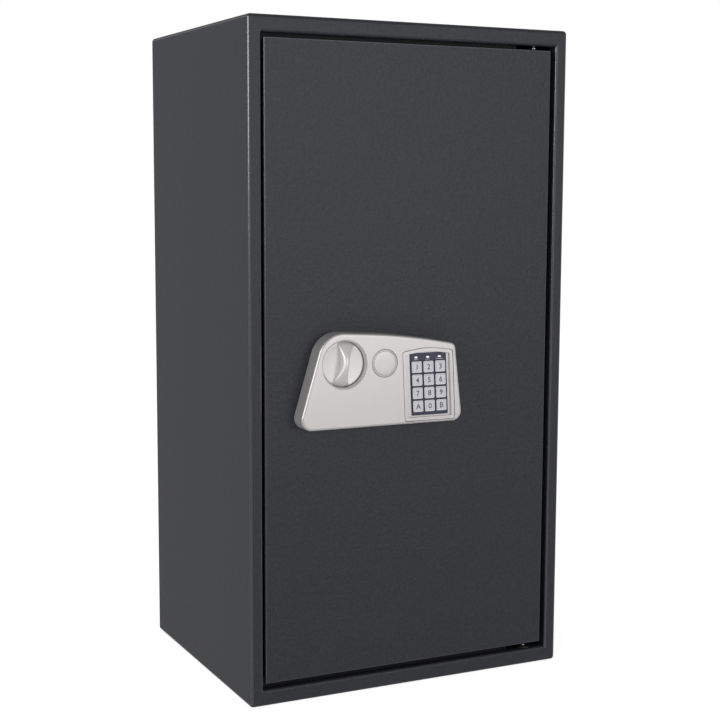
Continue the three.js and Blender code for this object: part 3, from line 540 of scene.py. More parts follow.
def makeBackPanel():
    low, high = partBox("back_panel")
    kinds = (powderCoat, "cabinet", "anthracite_paint", ["back_panel"])
    panel = makeBlock("backPanel", low, high, 0.5, 2, *kinds)

    def holes(cutter):
        for side in (-1, 1):
            place = (side * anchor["reach"], anchor["wallHeight"])
            addBore(cutter, anchor["hole"], low.y - 2, high.y + 2, place)

    cutOut(panel, holes)
    # weld seam round the panel
    seam = bmesh.new()
    edge = boxCorners(low, high)
    bead = 0.9
    rings = []
    for k in range(9):
        turn = 2 * math.pi * k / 8
        loop = insetLoop(edge, [1.5] * 4, 0.2 + bead * math.cos(turn))
        rings.append(stood(loop, high.y - 0.95 + bead * math.sin(turn)))
    addLoft(seam, rings)
    makePiece("panelSeam", seam, powderCoat, "cabinet", "anthracite_paint")


# Rubber plugs close the anchor holes until the cabinet is fixed.
def makeAnchorPlugs():
    head, neck = anchor["plugHead"], anchor["plugNeck"]
    wall = partBox("back_panel")[0].y
    floor = bodyLow.z + cabinet["sheet"]
    plugFinish = (blackRubber, "cabinet", "black_plastic")
    for side, label in ((-1, "left"), (1, "right")):
        across = side * anchor["reach"]
        profile = [(2, wall - 1.8), (head - 1.2, wall - 1.7), (head, wall - 0.9), (head, wall - 0.05),
                   (neck, wall), (neck, wall + 2.6), (neck - 0.8, wall + 2.9)]
        makeTurned("wallPlug_" + label, profile, (across, anchor["wallHeight"]), "y", 40, *plugFinish)
        profile = [(neck - 0.8, 0.2), (neck, 0.5), (neck, floor), (head, floor + 0.05), (head, floor + 0.9),
                   (head - 1.2, floor + 1.7), (2, floor + 1.8)]
        makeTurned("floorPlug_" + label, profile, (across, anchor["floorDepth"]), "z", 40, *plugFinish)


makeCabinetBody()
makeDoorStops()
makeBackPanel()
makeAnchorPlugs()
print("cabinet made")

shelving = {"sheet": 2.0, "bend": 3.0, "lip": 16.0, "hem": 6.0, "ledgeSheet": 1.5, "ledgeBend": 2.4}
felt = {
    "thickness": 3.0,
    "pitch": 8.0,  # of the mesh
    "slack": 0.35,  # left free above the mat for its waves
    "waveShare": 0.49,  # of the slack
    "holeRadius": 9.0,
    "edge": 0.8,
}


# The section of a folded sheet: a line of points given a thickness with round bends.
def sheetSection(points, radii, thickness, steps=5):
    points = [Vector(point) for point in points]
    outside, inside = [], []
    for i, (here, radius) in enumerate(zip(points, radii)):
        if i in (0, len(points) - 1):
            along = (points[1] - here if i == 0 else here - points[i - 1]).normalized()
            outside.append(here)
            inside.append(here + Vector((-along.y, along.x)) * thickness)
            continue
        before = (points[i - 1] - here).normalized()
        after = (points[i + 1] - here).normalized()
        half = math.acos(before.dot(after)) / 2
        centre = here + (before + after).normalized() * (radius / math.sin(half))
        start = here + before * (radius / math.tan(half)) - centre
        way = 1 if (-before).cross(after) > 0 else -1
        for k in range(steps + 1):
            spoke = Vector(turned(start, (math.pi - 2 * half) * way * k / steps))
            outside.append(centre + spoke)
            inside.append(centre + spoke.normalized() * (radius - way * thickness))
    return outside + inside[::-1]


# The section is walked so that the sheet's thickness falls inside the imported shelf.
def makeShelf(level):
    name = "shelf_" + level
    low, high = partBox(name)
    top, foot = high.z, high.z - shelving["lip"]
    hem, bend = shelving["hem"], shelving["bend"]
    line = [(high.y - hem, foot), (high.y, foot), (high.y, top)]
    line += [(low.y, top), (low.y, foot), (low.y + hem, foot)]
    section = sheetSection(line, [0, bend, bend, bend, bend, 0], shelving["sheet"])
    bm = bmesh.new()
    addLoft(bm, [[(x, y, z) for y, z in section] for x in (low.x, high.x)], True, True)
    makePiece("shelf" + level.capitalize() + "Sheet", bm, innerCoat, "cabinet", "inner_paint", [name])


def makeLedge(level, hand):
    name = "shelf_ledge_" + level + "_" + hand
    low, high = partBox(name)
    if hand == "left":
        line = [(high.x, high.z), (low.x, high.z), (low.x, low.z)]
    else:
        line = [(high.x, low.z), (high.x, high.z), (low.x, high.z)]
    section = sheetSection(line, [0, shelving["ledgeBend"], 0], shelving["ledgeSheet"])
    bm = bmesh.new()
    addLoft(bm, [[(x, y, z) for x, z in section] for y in (low.y, high.y)], True, True)
    title = "ledge" + level.capitalize() + hand.capitalize()
    makePiece(title, bm, innerCoat, "cabinet", "inner_paint", [name])


def makeFeltMat():
    low, high = partBox("floor_mat")
    pitch = felt["pitch"]
    across = round((high.x - low.x) / pitch)
    along = round((high.y - low.y) / pitch)
    xs = [low.x + (high.x - low.x) * i / across for i in range(across + 1)]
    ys = [low.y + (high.y - low.y) * j / along for j in range(along + 1)]
    bm = bmesh.new()
    rows = [addRing(bm, [(x, y, low.z) for x in xs]) for y in ys]
    for near, far in zip(rows, rows[1:]):
        for i in range(across):
            bm.faces.new((near[i], near[i + 1], far[i + 1], far[i]))
    mat = makePiece("feltMat", bm, feltWool, "cabinet", "grey_felt", ["floor_mat"], weighted=False)
    thick = mat.modifiers.new("thick", "SOLIDIFY")
    thick.thickness = -(felt["thickness"] - felt["slack"]) * mm
    thick.offset = -1
    soft = mat.modifiers.new("soft", "BEVEL")
    soft.width = felt["edge"] * mm
    soft.segments = 3
    soft.limit_method = "ANGLE"
    result = evaluatedMesh(mat)
    mat.modifiers.clear()
    mat.data = result
    result.name = "feltMat"
    top = max(v.co.z for v in result.vertices)
    for vert in result.vertices:
        if vert.co.z > top - 0.5 * mm:
            x, y = vert.co.x, vert.co.y
            wave = math.sin(x * 41 + 1.3) * math.sin(y * 53 + 0.4) + math.sin(x * 97) * 0.4
            vert.co.z += felt["slack"] * felt["waveShare"] * wave * mm

    def holes(cutter):
        for side in (-1, 1):
            place = (side * anchor["reach"], anchor["floorDepth"])
            addBore(cutter, felt["holeRadius"], 1, 12, place, "z", 40)

    cutOut(mat, holes)


for level in ("lower", "upper"):
    makeShelf(level)
for level in ("lower", "upper"):
    for hand in ("left", "right"):
        makeLedge(level, hand)
makeFeltMat()
print("inside made")

door = {
    "thickness": 5.0,
    "edge": 1.3,
    "spindleHole": 5.2,
    "emergencyHole": 10.8,
    "postRadius": 5.0,
    "screwHole": 2.4,
}
cover = {
    "edge": 3.0,
    "sheet": 1.5,
    "boltHole": 11.5,
    "batteryWindow": (56.0, 50.0),
    "buttonHole": 4.4,
}
hinge = {
    "pin": 4.5,
    "neck": 1.9,  # radius of the pin in the gap
    "bead": 3.0,  # collar on the neck, seen in the gaps above and below the door
    "beadHeight": 2.6,  # of its middle, from the lower side of the gap
    "beadHalf": 2.0,
    "bore": 4.8,
}
coverLow, coverHigh = partBox("boltwork_cover")
knobCentre = partCentre("spindle")
capCentre = partCentre("cover_cap")
batteryCentre = partCentre("battery_box")
buttonCentre = partCentre("reset_button")
screwCentres = [partCentre("cover_screw_%d" % k) for k in (1, 2, 3, 4)]
boltCentres = [partCentre("bolt_" + level) for level in ("lower", "middle", "upper")]


def makeDoorLeaf():
    bm = bmesh.new()
    low = doorLow
    high = Vector((doorHigh.x, doorLow.y + door["thickness"], doorHigh.z))
    corners = boxCorners(low, high)
    radii = [1.2] * 4
    rings = [stood(insetLoop(corners, radii, 0.4), high.y)]
    rings.append(stood(insetLoop(corners, radii, 0), high.y - 0.4))
    for inward, ahead in roundSteps(door["edge"], 4):
        rings.append(stood(insetLoop(corners, radii, inward), low.y + door["edge"] - ahead))
    addLoft(bm, rings, True, True)
    leaf = makePiece("doorLeaf", bm, powderCoat, "door", "anthracite_paint", ["door_plate"])

    def holes(cutter):
        for radius, centre in ((door["spindleHole"], knobCentre), (door["emergencyHole"], capCentre)):
            addBore(cutter, radius, low.y - 2, high.y + 2, (centre.x, centre.z))

    cutOut(leaf, holes)
    coatBends(leaf, bendCoat)
    bm = bmesh.new()
    post, tip = door["postRadius"], coverHigh.y - 1.9
    for centre in screwCentres:
        profile = [(post, high.y + 0.1), (post, tip), (2.3, tip), (2.3, coverHigh.y - 15)]
        addTurned(bm, profile, (centre.x, centre.z), "y", 32)
    makePiece("coverPosts", bm, zincPlate, "door", "zinc_plate")


# A pressed tray with a rounded rim and corners, open towards the door.
def makeMechanismCover():
    low, high = coverLow, coverHigh
    corners = boxCorners(low, high)
    edge, sheet = cover["edge"], cover["sheet"]
    radii = [edge + 1] * 4
    rings = [stood(insetLoop(corners, radii, 0), low.y)]
    for inward, ahead in roundSteps(edge, 5):
        rings.append(stood(insetLoop(corners, radii, inward), high.y - edge + ahead))
    bm = bmesh.new()
    outside = addLoft(bm, rings)
    bm.faces.new(outside[-1])
    rings = [stood(insetLoop(corners, radii, sheet), y) for y in (low.y, high.y - edge)]
    rings.append(stood(insetLoop(corners, radii, sheet + 1.0), high.y - sheet))
    within = addLoft(bm, rings)
    bm.faces.new(within[-1])
    bridge(bm, outside[0], within[0])
    tray = makePiece("mechanismCover", bm, innerCoat, "door", "inner_paint", ["boltwork_cover"])

    def holes(cutter):
        for centre in boltCentres:
            addBore(cutter, cover["boltHole"], low.x - 2, low.x + 3, (centre.y, centre.z), "x", 40)
        back = (high.y - 4, high.y + 1)
        for centre in screwCentres:
            addBore(cutter, door["screwHole"], *back, (centre.x, centre.z), "y", 24)
        addBore(cutter, cover["buttonHole"], *back, (buttonCentre.x, buttonCentre.z))
        wide, tall = cover["batteryWindow"]
        x, z = batteryCentre.x, batteryCentre.z
        window = rectangleCorners(x - wide / 2, x + wide / 2, z - tall / 2, z + tall / 2)
        addLoft(cutter, [stood(roundedLoop(window, [3] * 4), y) for y in back], True, True)

    cutOut(tray, holes)


# Outline of a plus sign.
def crossLoop(half, arm):
    quarter = [(arm, half), (arm, arm), (half, arm)]
    loop = []
    for turn in range(4):
        for x, z in quarter:
            for _ in range(turn):
                x, z = z, -x
            loop.append((x, z))
    return loop


def makeCoverScrews():
    for k, centre in enumerate(screwCentres, 1):
        low, high = partBox("cover_screw_%d" % k)
        seat = high.y - 2.5
        profile = [(1.4, low.y), (2, low.y + 0.7), (2, seat), (4.4, seat + 0.05), (4.5, seat + 1.0),
                   (4.1, seat + 1.8), (3.2, seat + 2.3), (2.0, high.y), (0.4, high.y)]
        kinds = (zincPlate, "door", "zinc_plate", ["cover_screw_%d" % k])
        screw = makeTurned("coverScrew_%d" % k, profile, (centre.x, centre.z), "y", 40, *kinds)

        def cross(cutter):
            loop = [(centre.x + x, centre.z + z) for x, z in crossLoop(2.4, 0.55)]
            addLoft(cutter, [stood(loop, y) for y in (high.y - 1.5, high.y + 1)], True, True)

        cutOut(screw, cross)


def makeHinges():
    for name in ("top", "bottom"):
        low, high = partBox("hinge_block_" + name)
        kinds = (zincPlate, "door", "zinc_plate", ["hinge_block_" + name])
        block = makeBlock("hingeBlock_" + name, low, high, 1.2, 3, *kinds)

        def bore(cutter):
            addBore(cutter, hinge["bore"], low.z - 1, high.z + 1, (pinCentre.x, pinCentre.y), "z", 40)

        cutOut(block, bore)
        pinLow, pinHigh = partBox("hinge_pin_" + name)
        gap = sorted((high.z, doorway["z1"]) if name == "top" else (doorway["z0"], low.z))
        pin, neck, bead = hinge["pin"], hinge["neck"], hinge["bead"]
        beadZ = gap[0] + hinge["beadHeight"]
        profile = [(pin - 1.1, pinLow.z), (pin, pinLow.z + 1.1), (pin, gap[0] - 1), (neck, gap[0] - 0.2)]
        profile += [(neck + (bead - neck) * math.sin(a), beadZ - hinge["beadHalf"] * math.cos(a))
                    for a in [math.pi / 8 * k for k in range(9)]]
        profile += [(neck, gap[1] + 0.2), (pin, gap[1] + 1), (pin, pinHigh.z - 1.1), (pin - 1.1, pinHigh.z)]
        kinds = (shadedPinSteel, "door", "turned_steel", ["hinge_pin_" + name])
        makeTurned("hingePin_" + name, profile, (pinCentre.x, pinCentre.y), "z", 48, *kinds)
    # thrust washer on the lower return, round the pin
    steps = [(5.0, 0.1), (8.2, 0.1), (8.6, 0.5), (8.6, 1.6), (8.2, 2.0), (5.0, 2.0), (5.0, 0.1)]
    profile = [(radius, doorway["z0"] + up) for radius, up in steps]
    kinds = (blackPlastic, "cabinet", "black_plastic")
    makeTurned("hingeWasher", profile, (pinCentre.x, pinCentre.y), "z", 48, *kinds, capped=False)


makeDoorLeaf()
makeMechanismCover()
makeCoverScrews()
makeHinges()
print("door made")

boltwork = {"radius": 10.0, "nose": 2.4, "guideBore": 10.4}


def makeBolts():
    for level in ("lower", "middle", "upper"):
        low, high = partBox("bolt_" + level)
        centre = partCentre("bolt_" + level)
        radius, nose = boltwork["radius"], boltwork["nose"]
        profile = [(radius - nose, low.x)]
        profile += [(radius - nose + nose * math.sin(a), low.x + nose * (1 - math.cos(a)))
                    for a in [math.pi / 2 * k / 5 for k in range(1, 6)]]
        profile += [(radius, high.x - 0.6), (radius - 0.6, high.x)]
        kinds = (turnedSteel, "boltwork", "turned_steel", ["bolt_" + level])
        makeTurned("lockBolt_" + level, profile, (centre.y, centre.z), "x", 64, *kinds)
        low, high = partBox("bolt_guide_" + level)
        kinds = (zincPlate, "door", "zinc_plate", ["bolt_guide_" + level])
        guide = makeBlock("boltGuide_" + level, low, high, 1.2, 3, *kinds)

        def bore(cutter):
            addBore(cutter, boltwork["guideBore"], low.x - 1, high.x + 1, (centre.y, centre.z), "x", 64)

        cutOut(guide, bore)


makeBolts()
print("boltwork made")

# The outline of the housing, from the knob axis.
housing = {
    "corners": [(-62.2, -80.1), (167.8, -80.1), (156.3, 19.7), (84.1, 33.6), (-26.6, 40.4)],
    "radii": [14, 12, 8, 850, 34],
    "edge": 3.0,
    "wall": 2.5,
}
bowl = {
    "mouth": 30.9,
    "bore": 28.55,
    "lip": 0.2,
    "ring": [(30.75, 0.8), (29.05, 1.9), (28.8, 2.3)],  # sloping ring round the knob: radius and depth
    "boreDepth": 5.5,
    "floorDepth": 13.0,
    "hole": 4.5,
}
capRing = {"mouth": 17.9, "depth": 2.2, "well": 12.0, "wellDepth": 14.0, "lip": 0.2}
keyField = {
    "size": (72.6, 89.6),
    "corner": 4.0,
    "arch": 5.0,  # rise of the upper edge
    "lean": 0.05,  # sideways per height
    "lip": 0.15,
    "groove": 0.6,
    "grooveDepth": 3.0,
    "draft": 4.3,  # width of the rim between the groove and the step
    "foot": 0.4,  # depth of the rim at the step
    "depth": 3.1,
    "rise": 1.45,  # of the keys above the middle
    "shift": (-1.0, -0.7),
    "play": 0.6,  # round the key plate
}
housingLow, housingHigh = partBox("lock_housing")
plateLow, plateHigh = partBox("keypad_plate")
knobAxis = Vector((knobCentre.x, knobCentre.z))
padCentre = Vector(((plateLow.x + plateHigh.x) / 2, (plateLow.z + plateHigh.z) / 2 - keyField["rise"]))
faceY = housingLow.y


# A leaning rectangle with rounded corners, and an arch on top when asked for.
def leaningLoop(width, height, radius, arch=0.0, inset=0.0, steps=6):
    lean = keyField["lean"]
    upright = rectangleCorners(-width / 2, width / 2, -height / 2, height / 2)
    corners = [(x - lean * z, z) for x, z in upright]
    radii = [radius] * 4
    if arch:
        top = height / 2 + arch
        corners.insert(3, (-lean * top, top))
        radii.insert(3, width * 1.4)
    return insetLoop(corners, radii, inset, steps)


def makeHousing():
    corners, radii = housing["corners"], housing["radii"]
    bm = bmesh.new()
    backY = housingHigh.y
    sides = [(housing["wall"], backY), (0.3, backY), (0, backY - 0.3)]
    sides += [(inward, faceY + housing["edge"] - ahead) for inward, ahead in roundSteps(housing["edge"], 8)]
    rings = [stood(insetLoop(corners, radii, inset, 12), y, knobAxis) for inset, y in sides]
    outline = addLoft(bm, rings)[-1]
    # bowl for the knob
    profile = [(bowl["mouth"] + out, depth) for out, depth in lipSteps(bowl["lip"], 4)] + bowl["ring"]
    profile += [(bowl["bore"], bowl["boreDepth"]), (bowl["bore"], bowl["floorDepth"]),
                (bowl["hole"], bowl["floorDepth"]), (bowl["hole"], bowl["floorDepth"] + 2)]
    rings = [stood(circleLoop(radius, 96), faceY + depth, knobAxis) for radius, depth in profile]
    bowlRows = addLoft(bm, rings)
    # ring round the cap
    profile = [(capRing["mouth"] + out, depth) for out, depth in lipSteps(capRing["lip"], 3)]
    profile += [(capRing["mouth"], capRing["depth"]), (capRing["well"], capRing["depth"]),
                (capRing["well"], capRing["wellDepth"])]
    capMiddle = (capCentre.x, capCentre.z)
    rings = [stood(circleLoop(radius, 64), faceY + depth, capMiddle) for radius, depth in profile]
    capRows = addLoft(bm, rings)
    # sunk field for the keys: a thin groove, a nearly flat rim and a step down to the floor
    wide, tall = keyField["size"]
    groove, deep = keyField["groove"], keyField["grooveDepth"]
    foot, footDepth, floorDepth = groove + keyField["draft"], keyField["foot"], keyField["depth"]
    steps = [(-out, depth) for out, depth in lipSteps(keyField["lip"], 4)]
    steps += [(0, deep), (groove, deep), (groove, 0.6), (groove + 0.15, 0.4), (groove + 0.4, 0.45)]
    steps += [(foot, footDepth), (foot + 0.2, footDepth + 0.2), (foot + 0.5, floorDepth)]
    fieldCentre = padCentre + Vector(keyField["shift"])
    rings = []
    for inset, depth in steps:
        loop = leaningLoop(wide, tall, keyField["corner"], keyField["arch"], inset)
        rings.append(stood(loop, faceY + depth, fieldCentre))
    fieldRows = addLoft(bm, rings)
    # window for the key plate
    plateTall = plateHigh.z - plateLow.z
    plateWide = plateHigh.x - plateLow.x - keyField["lean"] * plateTall
    loop = leaningLoop(plateWide + keyField["play"], plateTall + keyField["play"], 1.0)
    windowCentre = (padCentre.x, padCentre.y + keyField["rise"])
    floorY = faceY + floorDepth
    windowRows = addLoft(bm, [stood(loop, y, windowCentre) for y in (floorY, floorY + 2.5)])
    fillBetween(bm, outline, bowlRows[0], capRows[0], fieldRows[0])
    fillBetween(bm, fieldRows[-1], windowRows[0])
    makePiece("lockHousing", bm, silverLacquer, "door", "silver_plastic", ["lock_housing"], 40)


# The turning knob: a shallow dish crossed by a waisted grip with a high crown.
knob = {
    "radius": 28.0,
    "edge": 0.8,  # rounding of the rim
    "dish": 1.1,  # middle of the dish behind its rim
    "crown": 13.0,  # top of the grip in front of the rim
    "end": 12.4,  # half width of the grip at its ends
    "waist": 4.9,  # half width in the middle
    "tilt": 8.0,  # degrees, top towards the hinge side
    "fullness": 2.7,  # 2 is an ellipse across the grip, more is squarer
    "fillet": 1.2,  # along the foot of the grip
    "flareFrom": 0.55,  # share of the length after which the grip's flanks follow the rim
}


def makeKnob():
    low, high = partBox("knob")
    rim = low.y + knob["crown"]
    radius, edge = knob["radius"], knob["edge"]
    axis = (knobAxis.x, knobAxis.y)
    bm = bmesh.new()
    profile = [(4.0, high.y), (radius - 0.4, high.y), (radius, high.y - 0.4)]
    profile += [(radius - edge * (1 - math.cos(a)), rim + edge * (1 - math.sin(a)))
                for a in [math.pi / 8 * k for k in range(5)]]
    for share in (0.06, 0.14, 0.25, 0.4, 0.6, 0.8, 1.0):
        bend = math.sin(min(share / 0.6, 1) * math.pi / 2)
        profile.append(((radius - edge) * (1 - share) + 0.02, rim + knob["dish"] * bend))
    addTurned(bm, profile, axis, "y", 96)
    half = math.sqrt(radius ** 2 - knob["end"] ** 2)
    foot = rim + knob["dish"] + 0.6
    tilt = math.radians(knob["tilt"])
    fillet, power = knob["fillet"], 2 / knob["fullness"]
    steps = 40
    rows = []
    for k in range(-steps, steps + 1):
        along = k / steps
        wide = knob["waist"] + (knob["end"] - knob["waist"]) * along ** 2
        top = rim - 0.05 - (knob["crown"] - 0.05) * (1 - along ** 2)
        tall = foot - top
        blend = max(0.0, (abs(along) - knob["flareFrom"]) / (1 - knob["flareFrom"])) ** 2
        flank = [(wide + fillet, foot), (wide + 0.4 * fillet, foot - 0.35 * fillet)]
        flank += [(wide * math.cos(a) ** power, foot - 0.9 - (tall - 0.9) * math.sin(a) ** power)
                  for a in [math.pi / 32 * m for m in range(1, 16)]]
        row = []
        for u, y in flank + [(0.0, top)] + [(-u, y) for u, y in reversed(flank)]:
            reach = math.sqrt(max((radius - 0.25) ** 2 - u * u, 0)) - half
            v = along * half + math.copysign(reach * blend, along)
            # nothing of the grip stands out over the rim
            within = min(1, (radius - 0.35) / math.hypot(u, v)) if along else 1
            u, v = u * within, v * within
            x = u * math.cos(tilt) + v * math.sin(tilt)
            z = -u * math.sin(tilt) + v * math.cos(tilt)
            row.append((axis[0] + x, max(y, low.y), axis[1] + z))
        rows.append(row)
    addLoft(bm, rows, True, True)
    makePiece("turningKnob", bm, litKnobLacquer, "turning_knob", "silver_plastic", ["knob"], 50, False)


# Its boss is hollow; the front has a rounded rim and a groove round the middle.
capShape = {
    "hollow": [(0.4, 2.6), (8.4, 2.6)],  # radius and depth behind the front
    "boss": 10.0,
    "front": [(17.1, 1.9), (17.45, 1.5), (17.45, 0.7), (17.3, 0.3), (16.9, 0.05), (16.4, 0), (16.0, 0.15),
              (15.75, 0.7), (15.6, 1.0), (15.1, 1.0), (14.95, 0.6), (14.7, 0.2), (14.3, 0.1), (10, 0),
              (4, 0), (0.4, 0)],
}


def makeCap():
    low, high = partBox("cover_cap")
    hollow, boss, front = capShape["hollow"], capShape["boss"], capShape["front"]
    deep = high.y - low.y
    steps = hollow + [(hollow[-1][0], deep), (boss, deep), (boss, front[0][1])] + front
    profile = [(radius, low.y + depth) for radius, depth in steps]
    kinds = (silverLacquer, "lock_cap", "silver_plastic", ["cover_cap"], 40)
    makeTurned("lockCap", profile, (capCentre.x, capCentre.z), "y", 72, *kinds)


keyShape = {
    "size": 14.6,
    "corner": 1.8,
    "thickness": 1.2,
    "edge": 0.5,
    "rim": 1.2,  # lower frame round the middle
    "step": 0.25,
    "stem": 5.0,
    "digit": 9.6,  # font size
    "bold": 0.2,  # added to the strokes
    "inkDepth": 0.03,
}
keyFaces = "123456789a0b"


def makeKey(face):
    low, high = partBox("key_" + face)
    centre = ((low.x + high.x) / 2, (low.z + high.z) / 2)
    backY = low.y + keyShape["thickness"]
    size, edge, rim, step = keyShape["size"], keyShape["edge"], keyShape["rim"], keyShape["step"]

    def level(inset):
        return leaningLoop(size, size, keyShape["corner"], 0.0, inset, 4)

    # rounded edge, a lower rim, a small step and the pillowed middle
    rings = [stood(level(0.2), backY, centre), stood(level(0.0), backY - 0.2, centre)]
    for inward, ahead in roundSteps(edge, 3):
        rings.append(stood(level(inward), low.y + step + edge - ahead, centre))
    for inset, depth in ((rim * 0.6, step + 0.05), (rim, step + 0.12), (rim + 0.25, 0.1), (rim + 0.7, 0),
                         (rim + 2.4, 0.06)):
        rings.append(stood(level(edge + inset), low.y + depth, centre))
    bm = bmesh.new()
    addLoft(bm, rings, True, True)
    half = keyShape["stem"] / 2
    stemLow = (centre[0] - half, backY - 0.2, centre[1] - half)
    addBlock(bm, stemLow, (centre[0] + half, high.y, centre[1] + half), 0.4)
    body = "keypad_key_" + face
    makePiece("keyCap_" + face, bm, keySilver, body, "key_plastic", ["key_" + face], 45)
    makeDigit(face, body, Vector((centre[0], low.y + 0.06, centre[1])))


# The character is a thin printed layer on the cap.
def makeDigit(face, body, place):
    text = bpy.data.curves.new("digit_" + face, "FONT")
    text.body = face.upper()
    text.size = keyShape["digit"] * mm
    text.align_x = text.align_y = "CENTER"
    text.extrude = keyShape["inkDepth"] * mm
    text.offset = keyShape["bold"] * mm
    holder = addObject("digitShape", text)
    mesh = evaluatedMesh(holder)
    bpy.data.objects.remove(holder)
    bpy.data.curves.remove(text)
    shape = bmesh.new()
    shape.from_mesh(mesh)
    bpy.data.meshes.remove(mesh)
    xs = [vert.co.x for vert in shape.verts]
    ys = [vert.co.y for vert in shape.verts]
    middle = Vector(((min(xs) + max(xs)) / 2, (min(ys) + max(ys)) / 2, 0))
    turn = Matrix.Rotation(math.pi / 2, 3, "X")
    for vert in shape.verts:
        vert.co = turn @ (vert.co - middle) + place * mm
    makePiece("keyDigit_" + face, shape, digitInk, body, "key_plastic", (), 32, False)


# Small printed dashes under the lamps: how wide each is.
marks = {
    "left": (1.5, 2.2, 1.3),
    "middle": (1.6, 1.4, 1.9),
    "right": (2.6, 1.7, 2.4, 1.8),
    "drop": 3.3,
    "height": 0.8,
    "space": 0.5,
}


def makeLampMarks():
    y, space = plateLow.y, marks["space"]
    for label in ("left", "middle", "right"):
        centre = partCentre("led_" + label)
        widths = marks[label]
        x = centre.x - (sum(widths) + space * (len(widths) - 1)) / 2
        z = centre.z - marks["drop"]
        bm = bmesh.new()
        for width in widths:
            addBlock(bm, (x, y - 0.06, z), (x + width, y + 0.05, z + marks["height"]), 0.02, 1)
            x += width + space
        makePiece("lampMark_" + label, bm, markInk, "door", "key_plastic")


def makeEmergencyLock():
    low, high = partBox("emergency_lock_case")
    middle = (capCentre.x, capCentre.z)
    profile = [(6.4, high.y), (10.2, high.y), (10.5, high.y - 0.3), (10.5, low.y + 0.8), (9.9, low.y + 0.1),
               (9.4, low.y), (7.0, low.y), (6.6, low.y + 0.3), (6.4, low.y + 0.8), (6.4, high.y)]
    kinds = (brass, "door", "brass", ["emergency_lock_case"], 40)
    makeTurned("emergencyCase", profile, middle, "y", 64, *kinds, capped=False)
    low, high = partBox("emergency_plug")
    profile = [(5.6, low.y + 0.15), (6.0, low.y + 0.5), (6.0, high.y)]
    kinds = (brass, "emergency_barrel", "brass", ["emergency_plug"], 40)
    plug = makeTurned("emergencyPlug", profile, middle, "y", 48, *kinds)
    # a slot with one ward at its side
    slot = [(-0.9, -4), (0.9, -4), (0.9, 4), (-0.9, 4), (-0.9, 0.6), (-1.8, 0.6), (-1.8, -1), (-0.9, -1)]

    def keyway(cutter):
        addLoft(cutter, [stood(slot, y, middle) for y in (low.y - 2, low.y + 8)], True, True)

    cutOut(plug, keyway)
    near, far = (middle[0] - 4, high.y - 2.5, low.z), (middle[0] + 4, high.y, middle[1])
    makeBlock("emergencyLever", near, far, 0.6, 2, zincPlate, "emergency_barrel", "zinc_plate")


makeHousing()
makeKnob()
makeCap()
for keyName in keyFaces:
    makeKey(keyName)
makeLampMarks()
makeEmergencyLock()
print("lock made")

cells = {
    "radius": 7.1,
    "length": 49.5,
    "pitch": 14.7,
    "boxDepth": 18.0,  # from the back of the box to its floor
    "capRadius": 2.7,
    "wire": 0.25,  # radius of the spring's wire
    "springRadius": 4.4,
    "springTaper": 0.9,  # per turn
    "springTurns": 3,
    "springHeight": 1.1,
}
lid = {"edge": 1.0, "ribs": 3, "ribHalf": 12.0, "ribHeight": 1.5, "firstRib": 6.0, "ribPitch": 4.0}


# A cone spring under the flat end of a cell; the cell lies along Z and points the given way.
def springRings(x, y, end, way):
    wire, turns, perTurn = cells["wire"], cells["springTurns"], 24
    rings = []
    for m in range(turns * perTurn + 1):
        turn = m / perTurn
        angle = 2 * math.pi * turn
        radius = cells["springRadius"] - cells["springTaper"] * turn
        outward = Vector((math.cos(angle), math.sin(angle), 0))
        z = end - way * (0.35 + cells["springHeight"] * (1 - turn / turns))
        middle = Vector((x, y, z)) + outward * radius
        rings.append([middle + outward * wire * math.cos(b) + Vector((0, 0, wire * math.sin(b)))
                      for b in [math.pi / 3 * n for n in range(6)]])
    return rings


# Four cells lie side by side and point up and down in turn.
def makeCells():
    high = partBox("battery_box")[1]
    radius, half, cap = cells["radius"], cells["length"] / 2, cells["capRadius"]
    y, z = high.y - cells["boxDepth"] + radius + 0.4, batteryCentre.z
    for k in range(4):
        x = batteryCentre.x + (k - 1.5) * cells["pitch"]
        way = 1 if k % 2 == 0 else -1
        sleeve = [(radius - 0.5, -half), (radius, -half + 0.5), (radius, half - 2.2),
                  (radius - 0.5, half - 1.7)]
        button = [(radius - 0.8, half - 1.9), (radius - 1.2, half - 1.3), (cap, half - 1.2),
                  (cap, half - 0.2), (cap - 0.3, half)]
        for name, profile, sides, coat, slotName in (
            ("cellSleeve_", sleeve, 48, cellSleeve, "black_plastic"),
            ("cellCap_", button, 40, turnedSteel, "turned_steel"),
        ):
            profile = [(r, z + way * along) for r, along in profile]
            makeTurned(name + str(k + 1), profile, (x, y), "z", sides, coat, "door", slotName)
        bm = bmesh.new()
        addLoft(bm, springRings(x, y, z - way * half, way), True, True)
        makePiece("cellSpring_" + str(k + 1), bm, turnedSteel, "door", "turned_steel")


def makeBatteryLid():
    low, high = partBox("battery_cover")
    bm = bmesh.new()
    face = high.y - 1
    corners = boxCorners(low, high)
    rings = [stood(insetLoop(corners, [4] * 4, 0), low.y)]
    rings += [stood(insetLoop(corners, [4] * 4, inward), face - lid["edge"] + ahead)
              for inward, ahead in roundSteps(lid["edge"], 4)]
    addLoft(bm, rings, True, True)
    for k in range(lid["ribs"]):
        x, z = batteryCentre.x, low.z + lid["firstRib"] + lid["ribPitch"] * k
        half = lid["ribHalf"]
        addBlock(bm, (x - half, face - 0.4, z), (x + half, high.y, z + lid["ribHeight"]), 0.5)
    makePiece("batteryLid", bm, blackPlastic, "battery_lid", "black_plastic", ["battery_cover"])


def makeCodeButton():
    low, high = partBox("reset_button")
    profile = [(3.8, low.y), (4, low.y + 0.3), (4, high.y - 0.9), (3.7, high.y - 0.35), (2.6, high.y - 0.08),
               (0.3, high.y)]
    kinds = (redPlastic, "code_button", "red_plastic", ["reset_button"])
    makeTurned("codeButton", profile, (buttonCentre.x, buttonCentre.z), "y", 40, *kinds)


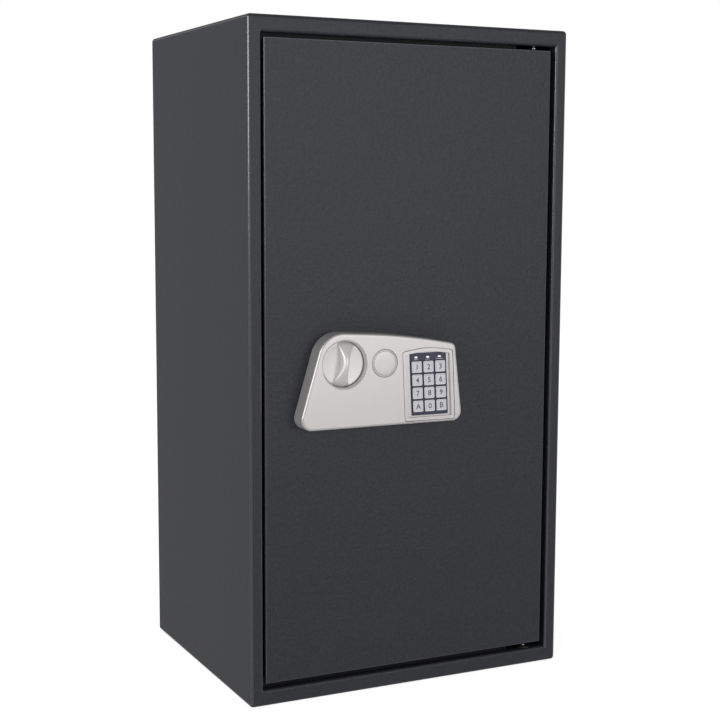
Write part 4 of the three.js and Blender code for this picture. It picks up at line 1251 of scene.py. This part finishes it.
makeCells()
makeBatteryLid()
makeCodeButton()
print("battery and button made")

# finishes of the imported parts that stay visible, by slot
slotFinish = {
    "zinc_plate": zincPlate,
    "turned_steel": turnedSteel,
    "navy_plastic": navyPanel,
    "black_plastic": blackPlastic,
    "clear_lens": lampLens,
    "green_board": greenBoard,
    "brass": brass,
}
for subpart in frame["record"]["subparts"]:
    node = frame["nodes"][subpart["node"]]
    coat = slotFinish.get(subpart["material_slot"])
    if coat and not node.hide_render:
        for place in node.material_slots:
            place.material = coat
print("packed parts painted")


def makeFloor():
    bm = bmesh.new()
    half = stageSetup["floorSize"] / 2
    bmesh.ops.create_grid(bm, x_segments=8, y_segments=8, size=half)
    floor = addObject("floor", meshOf("floor", bm))
    floor.data.materials.append(floorPaper)
    floor.visible_glossy = False  # the sheet lights the cabinet but isn't mirrored in it


# Place, target and size in metres, and power in watts.
softboxes = {
    "leftBox": ((-2.5, -0.75, 1.3), (-0.2, -0.18, 0.5), (1.2, 1.3), 24),
    "frontBox": ((1.25, -4.0, 1.02), (0.0, -0.2, 0.4), (2.5, 2.2), 32),
}


def addSoftbox(name, place, target, size, power):
    data = bpy.data.lights.new(name, "AREA")
    data.shape = "RECTANGLE"
    data.size, data.size_y = size
    data.energy = power
    box = addObject(name, data)
    box.location = place
    box.rotation_euler = (Vector(target) - Vector(place)).to_track_quat("-Z", "Y").to_euler()


# A soft bright room in front of a white backdrop, with one box at the left and one in front.
def makeLight():
    world = bpy.data.worlds.new("studio")
    world.use_nodes = True
    tree = world.node_tree
    room = tree.nodes["Background"]
    room.inputs["Color"].default_value = (1, 1, 1, 1)
    room.inputs["Strength"].default_value = stageSetup["roomLight"]
    backdrop = addNode(tree, "ShaderNodeBackground", {"Color": (1, 1, 1, 1), "Strength": 1.0})
    seen = addNode(tree, "ShaderNodeLightPath", {})
    inputs = {0: seen.outputs["Is Camera Ray"], 1: room.outputs[0], 2: backdrop.outputs[0]}
    mixed = addNode(tree, "ShaderNodeMixShader", inputs)
    tree.links.new(mixed.outputs[0], tree.nodes["World Output"].inputs["Surface"])
    bpy.context.scene.world = world
    for name, box in softboxes.items():
        addSoftbox(name, *box)


makeFloor()
makeLight()
bpy.context.scene.view_settings.view_transform = "Standard"
print("floor and light ready")
